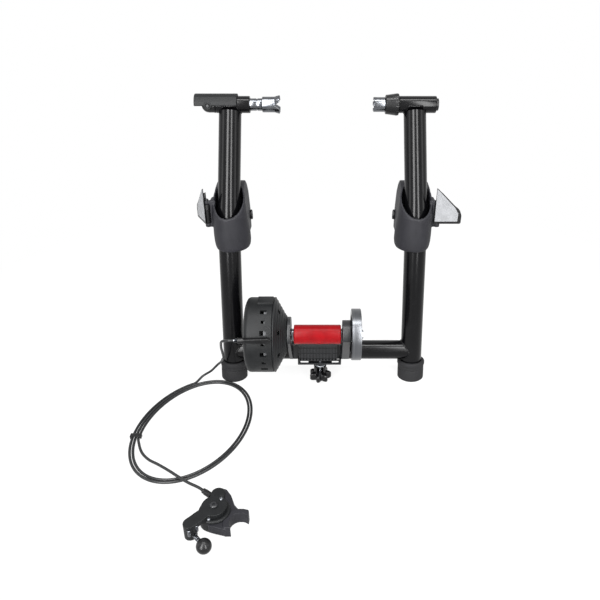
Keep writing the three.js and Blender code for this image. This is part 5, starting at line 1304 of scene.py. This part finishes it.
class TrainerColours(bpy.types.PropertyGroup):
    """Colours of the finishes"""

    powder_coat: colour("Powder coat", "Gloss paint of the tubes and barrels", "#050506")
    satin_coat: colour("Satin coat", "Paint of the cradle, saddle, strap and pins", "#131416")
    shroud: colour("Shrouds", "Nylon mouldings at the fold joints", "#16161a")
    housing: colour("Housing", "ABS of the magnetic unit, the lever and the remote", "#0f1011")
    knobs: colour("Knobs", "Acetal of the star knob, collar, plug, wings, clamp fork and ball", "#0b0b0c")
    rubber: colour("Feet", "Rubber of the four feet", "#0f0f11")
    roller: colour("Roller", "Urethane of the tyre roller", "#680409")
    label: colour("Labels", "Foil of the bare labels on the wings", "#717274")
    cable: colour("Cable", "Jacket of the control cable", "#141516")


class TrainerSizes(bpy.types.PropertyGroup):
    """Sizes that a user may change"""

    cable_diameter: distance("Cable diameter", "Outer diameter of the control cable", 0.002, 0.006, 0.004)
    weld_bead: distance("Weld bead", "Radius of the weld beads on the frame", 0.0005, 0.003, 0.0013)
    vent_width: distance("Vent width", "Width of the drum's larger vents", 0.003, 0.01, 0.007)


# One operator for each piece or group of like pieces
class TRAINER_OT_stage(bpy.types.Operator):
    """Sets up the camera, the floor and the lights"""

    bl_idname = "trainer.stage"
    bl_label = "Stage"

    def execute(self, context):
        make_stage()
        return {"FINISHED"}


class TRAINER_OT_cable(bpy.types.Operator):
    """Lays the control cable with its remote and its tie"""

    bl_idname = "trainer.cable"
    bl_label = "Cable and remote"

    def execute(self, context):
        cable, exit_point, length = make_cable()
        pieces = make_remote() + [make_tie()]
        return {"FINISHED"}


class TRAINER_OT_frame(bpy.types.Operator):
    """Makes the uprights, the crossbar and their welds"""

    bl_idname = "trainer.frame"
    bl_label = "Frame tubes"

    def execute(self, context):
        for word, side in SIDES:
            make_upright(word, side)
        make_crossbar()
        make_barrels()
        make_welds()
        return {"FINISHED"}


class TRAINER_OT_legs(bpy.types.Operator):
    """Makes the two rear legs"""

    bl_idname = "trainer.legs"
    bl_label = "Rear legs"

    def execute(self, context):
        for word, side in SIDES:
            make_leg(word, side)
        return {"FINISHED"}


class TRAINER_OT_feet(bpy.types.Operator):
    """Makes the four rubber feet"""

    bl_idname = "trainer.feet"
    bl_label = "Rubber feet"

    def execute(self, context):
        make_feet()
        return {"FINISHED"}


class TRAINER_OT_shrouds(bpy.types.Operator):
    """Makes the moulded shrouds at the fold joints and their bolts"""

    bl_idname = "trainer.shrouds"
    bl_label = "Fold shrouds"

    def execute(self, context):
        make_knuckles()
        return {"FINISHED"}


class TRAINER_OT_wings(bpy.types.Operator):
    """Makes the two lock wings with their bare labels"""

    bl_idname = "trainer.wings"
    bl_label = "Lock wings"

    def execute(self, context):
        make_wings()
        return {"FINISHED"}


class TRAINER_OT_clamp(bpy.types.Operator):
    """Makes the quick clamp on the left of the axle"""

    bl_idname = "trainer.clamp"
    bl_label = "Axle clamp"

    def execute(self, context):
        make_clamp()
        return {"FINISHED"}


class TRAINER_OT_stop(bpy.types.Operator):
    """Makes the screwed stop on the right of the axle"""

    bl_idname = "trainer.stop"
    bl_label = "Axle stop"

    def execute(self, context):
        make_stop()
        return {"FINISHED"}


class TRAINER_OT_roller(bpy.types.Operator):
    """Makes the roller, its shaft, its bearings and the flywheel"""

    bl_idname = "trainer.roller"
    bl_label = "Roller and flywheel"

    def execute(self, context):
        make_roller()
        return {"FINISHED"}


class TRAINER_OT_cradle(bpy.types.Operator):
    """Makes the cradle, the saddle and the strap"""

    bl_idname = "trainer.cradle"
    bl_label = "Cradle and clamp"

    def execute(self, context):
        make_cradle()
        return {"FINISHED"}


class TRAINER_OT_knob(bpy.types.Operator):
    """Makes the star knob with its bolt and washer"""

    bl_idname = "trainer.knob"
    bl_label = "Star knob"

    def execute(self, context):
        make_knob()
        return {"FINISHED"}


class TRAINER_OT_drum(bpy.types.Operator):
    """Makes the magnetic unit's drum, cover and cable arm"""

    bl_idname = "trainer.drum"
    bl_label = "Magnetic unit"

    def execute(self, context):
        make_drum()
        return {"FINISHED"}


OPERATORS = (
    TRAINER_OT_stage, TRAINER_OT_cable, TRAINER_OT_frame, TRAINER_OT_legs, TRAINER_OT_feet,
    TRAINER_OT_shrouds, TRAINER_OT_wings, TRAINER_OT_clamp, TRAINER_OT_stop, TRAINER_OT_roller,
    TRAINER_OT_cradle, TRAINER_OT_knob, TRAINER_OT_drum,
)


class TRAINER_PT_panel(bpy.types.Panel):
    """Lists the trainer's settings and makers"""

    bl_idname = "TRAINER_PT_panel"
    bl_label = "Turbo trainer"
    bl_space_type = "VIEW_3D"
    bl_region_type = "UI"
    bl_category = "Trainer"

    def draw(self, context):
        layout = self.layout
        for group in (context.scene.trainer_sizes, context.scene.trainer_colours):
            column = layout.column()
            for name in group.__annotations__:
                column.prop(group, name)
        column = layout.column()
        for each in OPERATORS:
            column.operator(each.bl_idname)


CLASSES = (TrainerColours, TrainerSizes, *OPERATORS, TRAINER_PT_panel)


def register():
    for each in CLASSES:
        bpy.utils.register_class(each)
    bpy.types.Scene.trainer_colours = bpy.props.PointerProperty(type=TrainerColours)
    bpy.types.Scene.trainer_sizes = bpy.props.PointerProperty(type=TrainerSizes)


def unregister():
    del bpy.types.Scene.trainer_sizes
    del bpy.types.Scene.trainer_colours
    for each in reversed(CLASSES):
        bpy.utils.unregister_class(each)


def main():
    register()
    bpy.ops.trainer.stage()
    bpy.ops.trainer.cable()
    bpy.ops.trainer.frame()
    bpy.ops.trainer.legs()
    bpy.ops.trainer.feet()
    bpy.ops.trainer.shrouds()
    bpy.ops.trainer.wings()
    bpy.ops.trainer.clamp()
    bpy.ops.trainer.stop()
    bpy.ops.trainer.roller()
    bpy.ops.trainer.cradle()
    bpy.ops.trainer.knob()
    bpy.ops.trainer.drum()


if __name__ == "__main__":
    main()
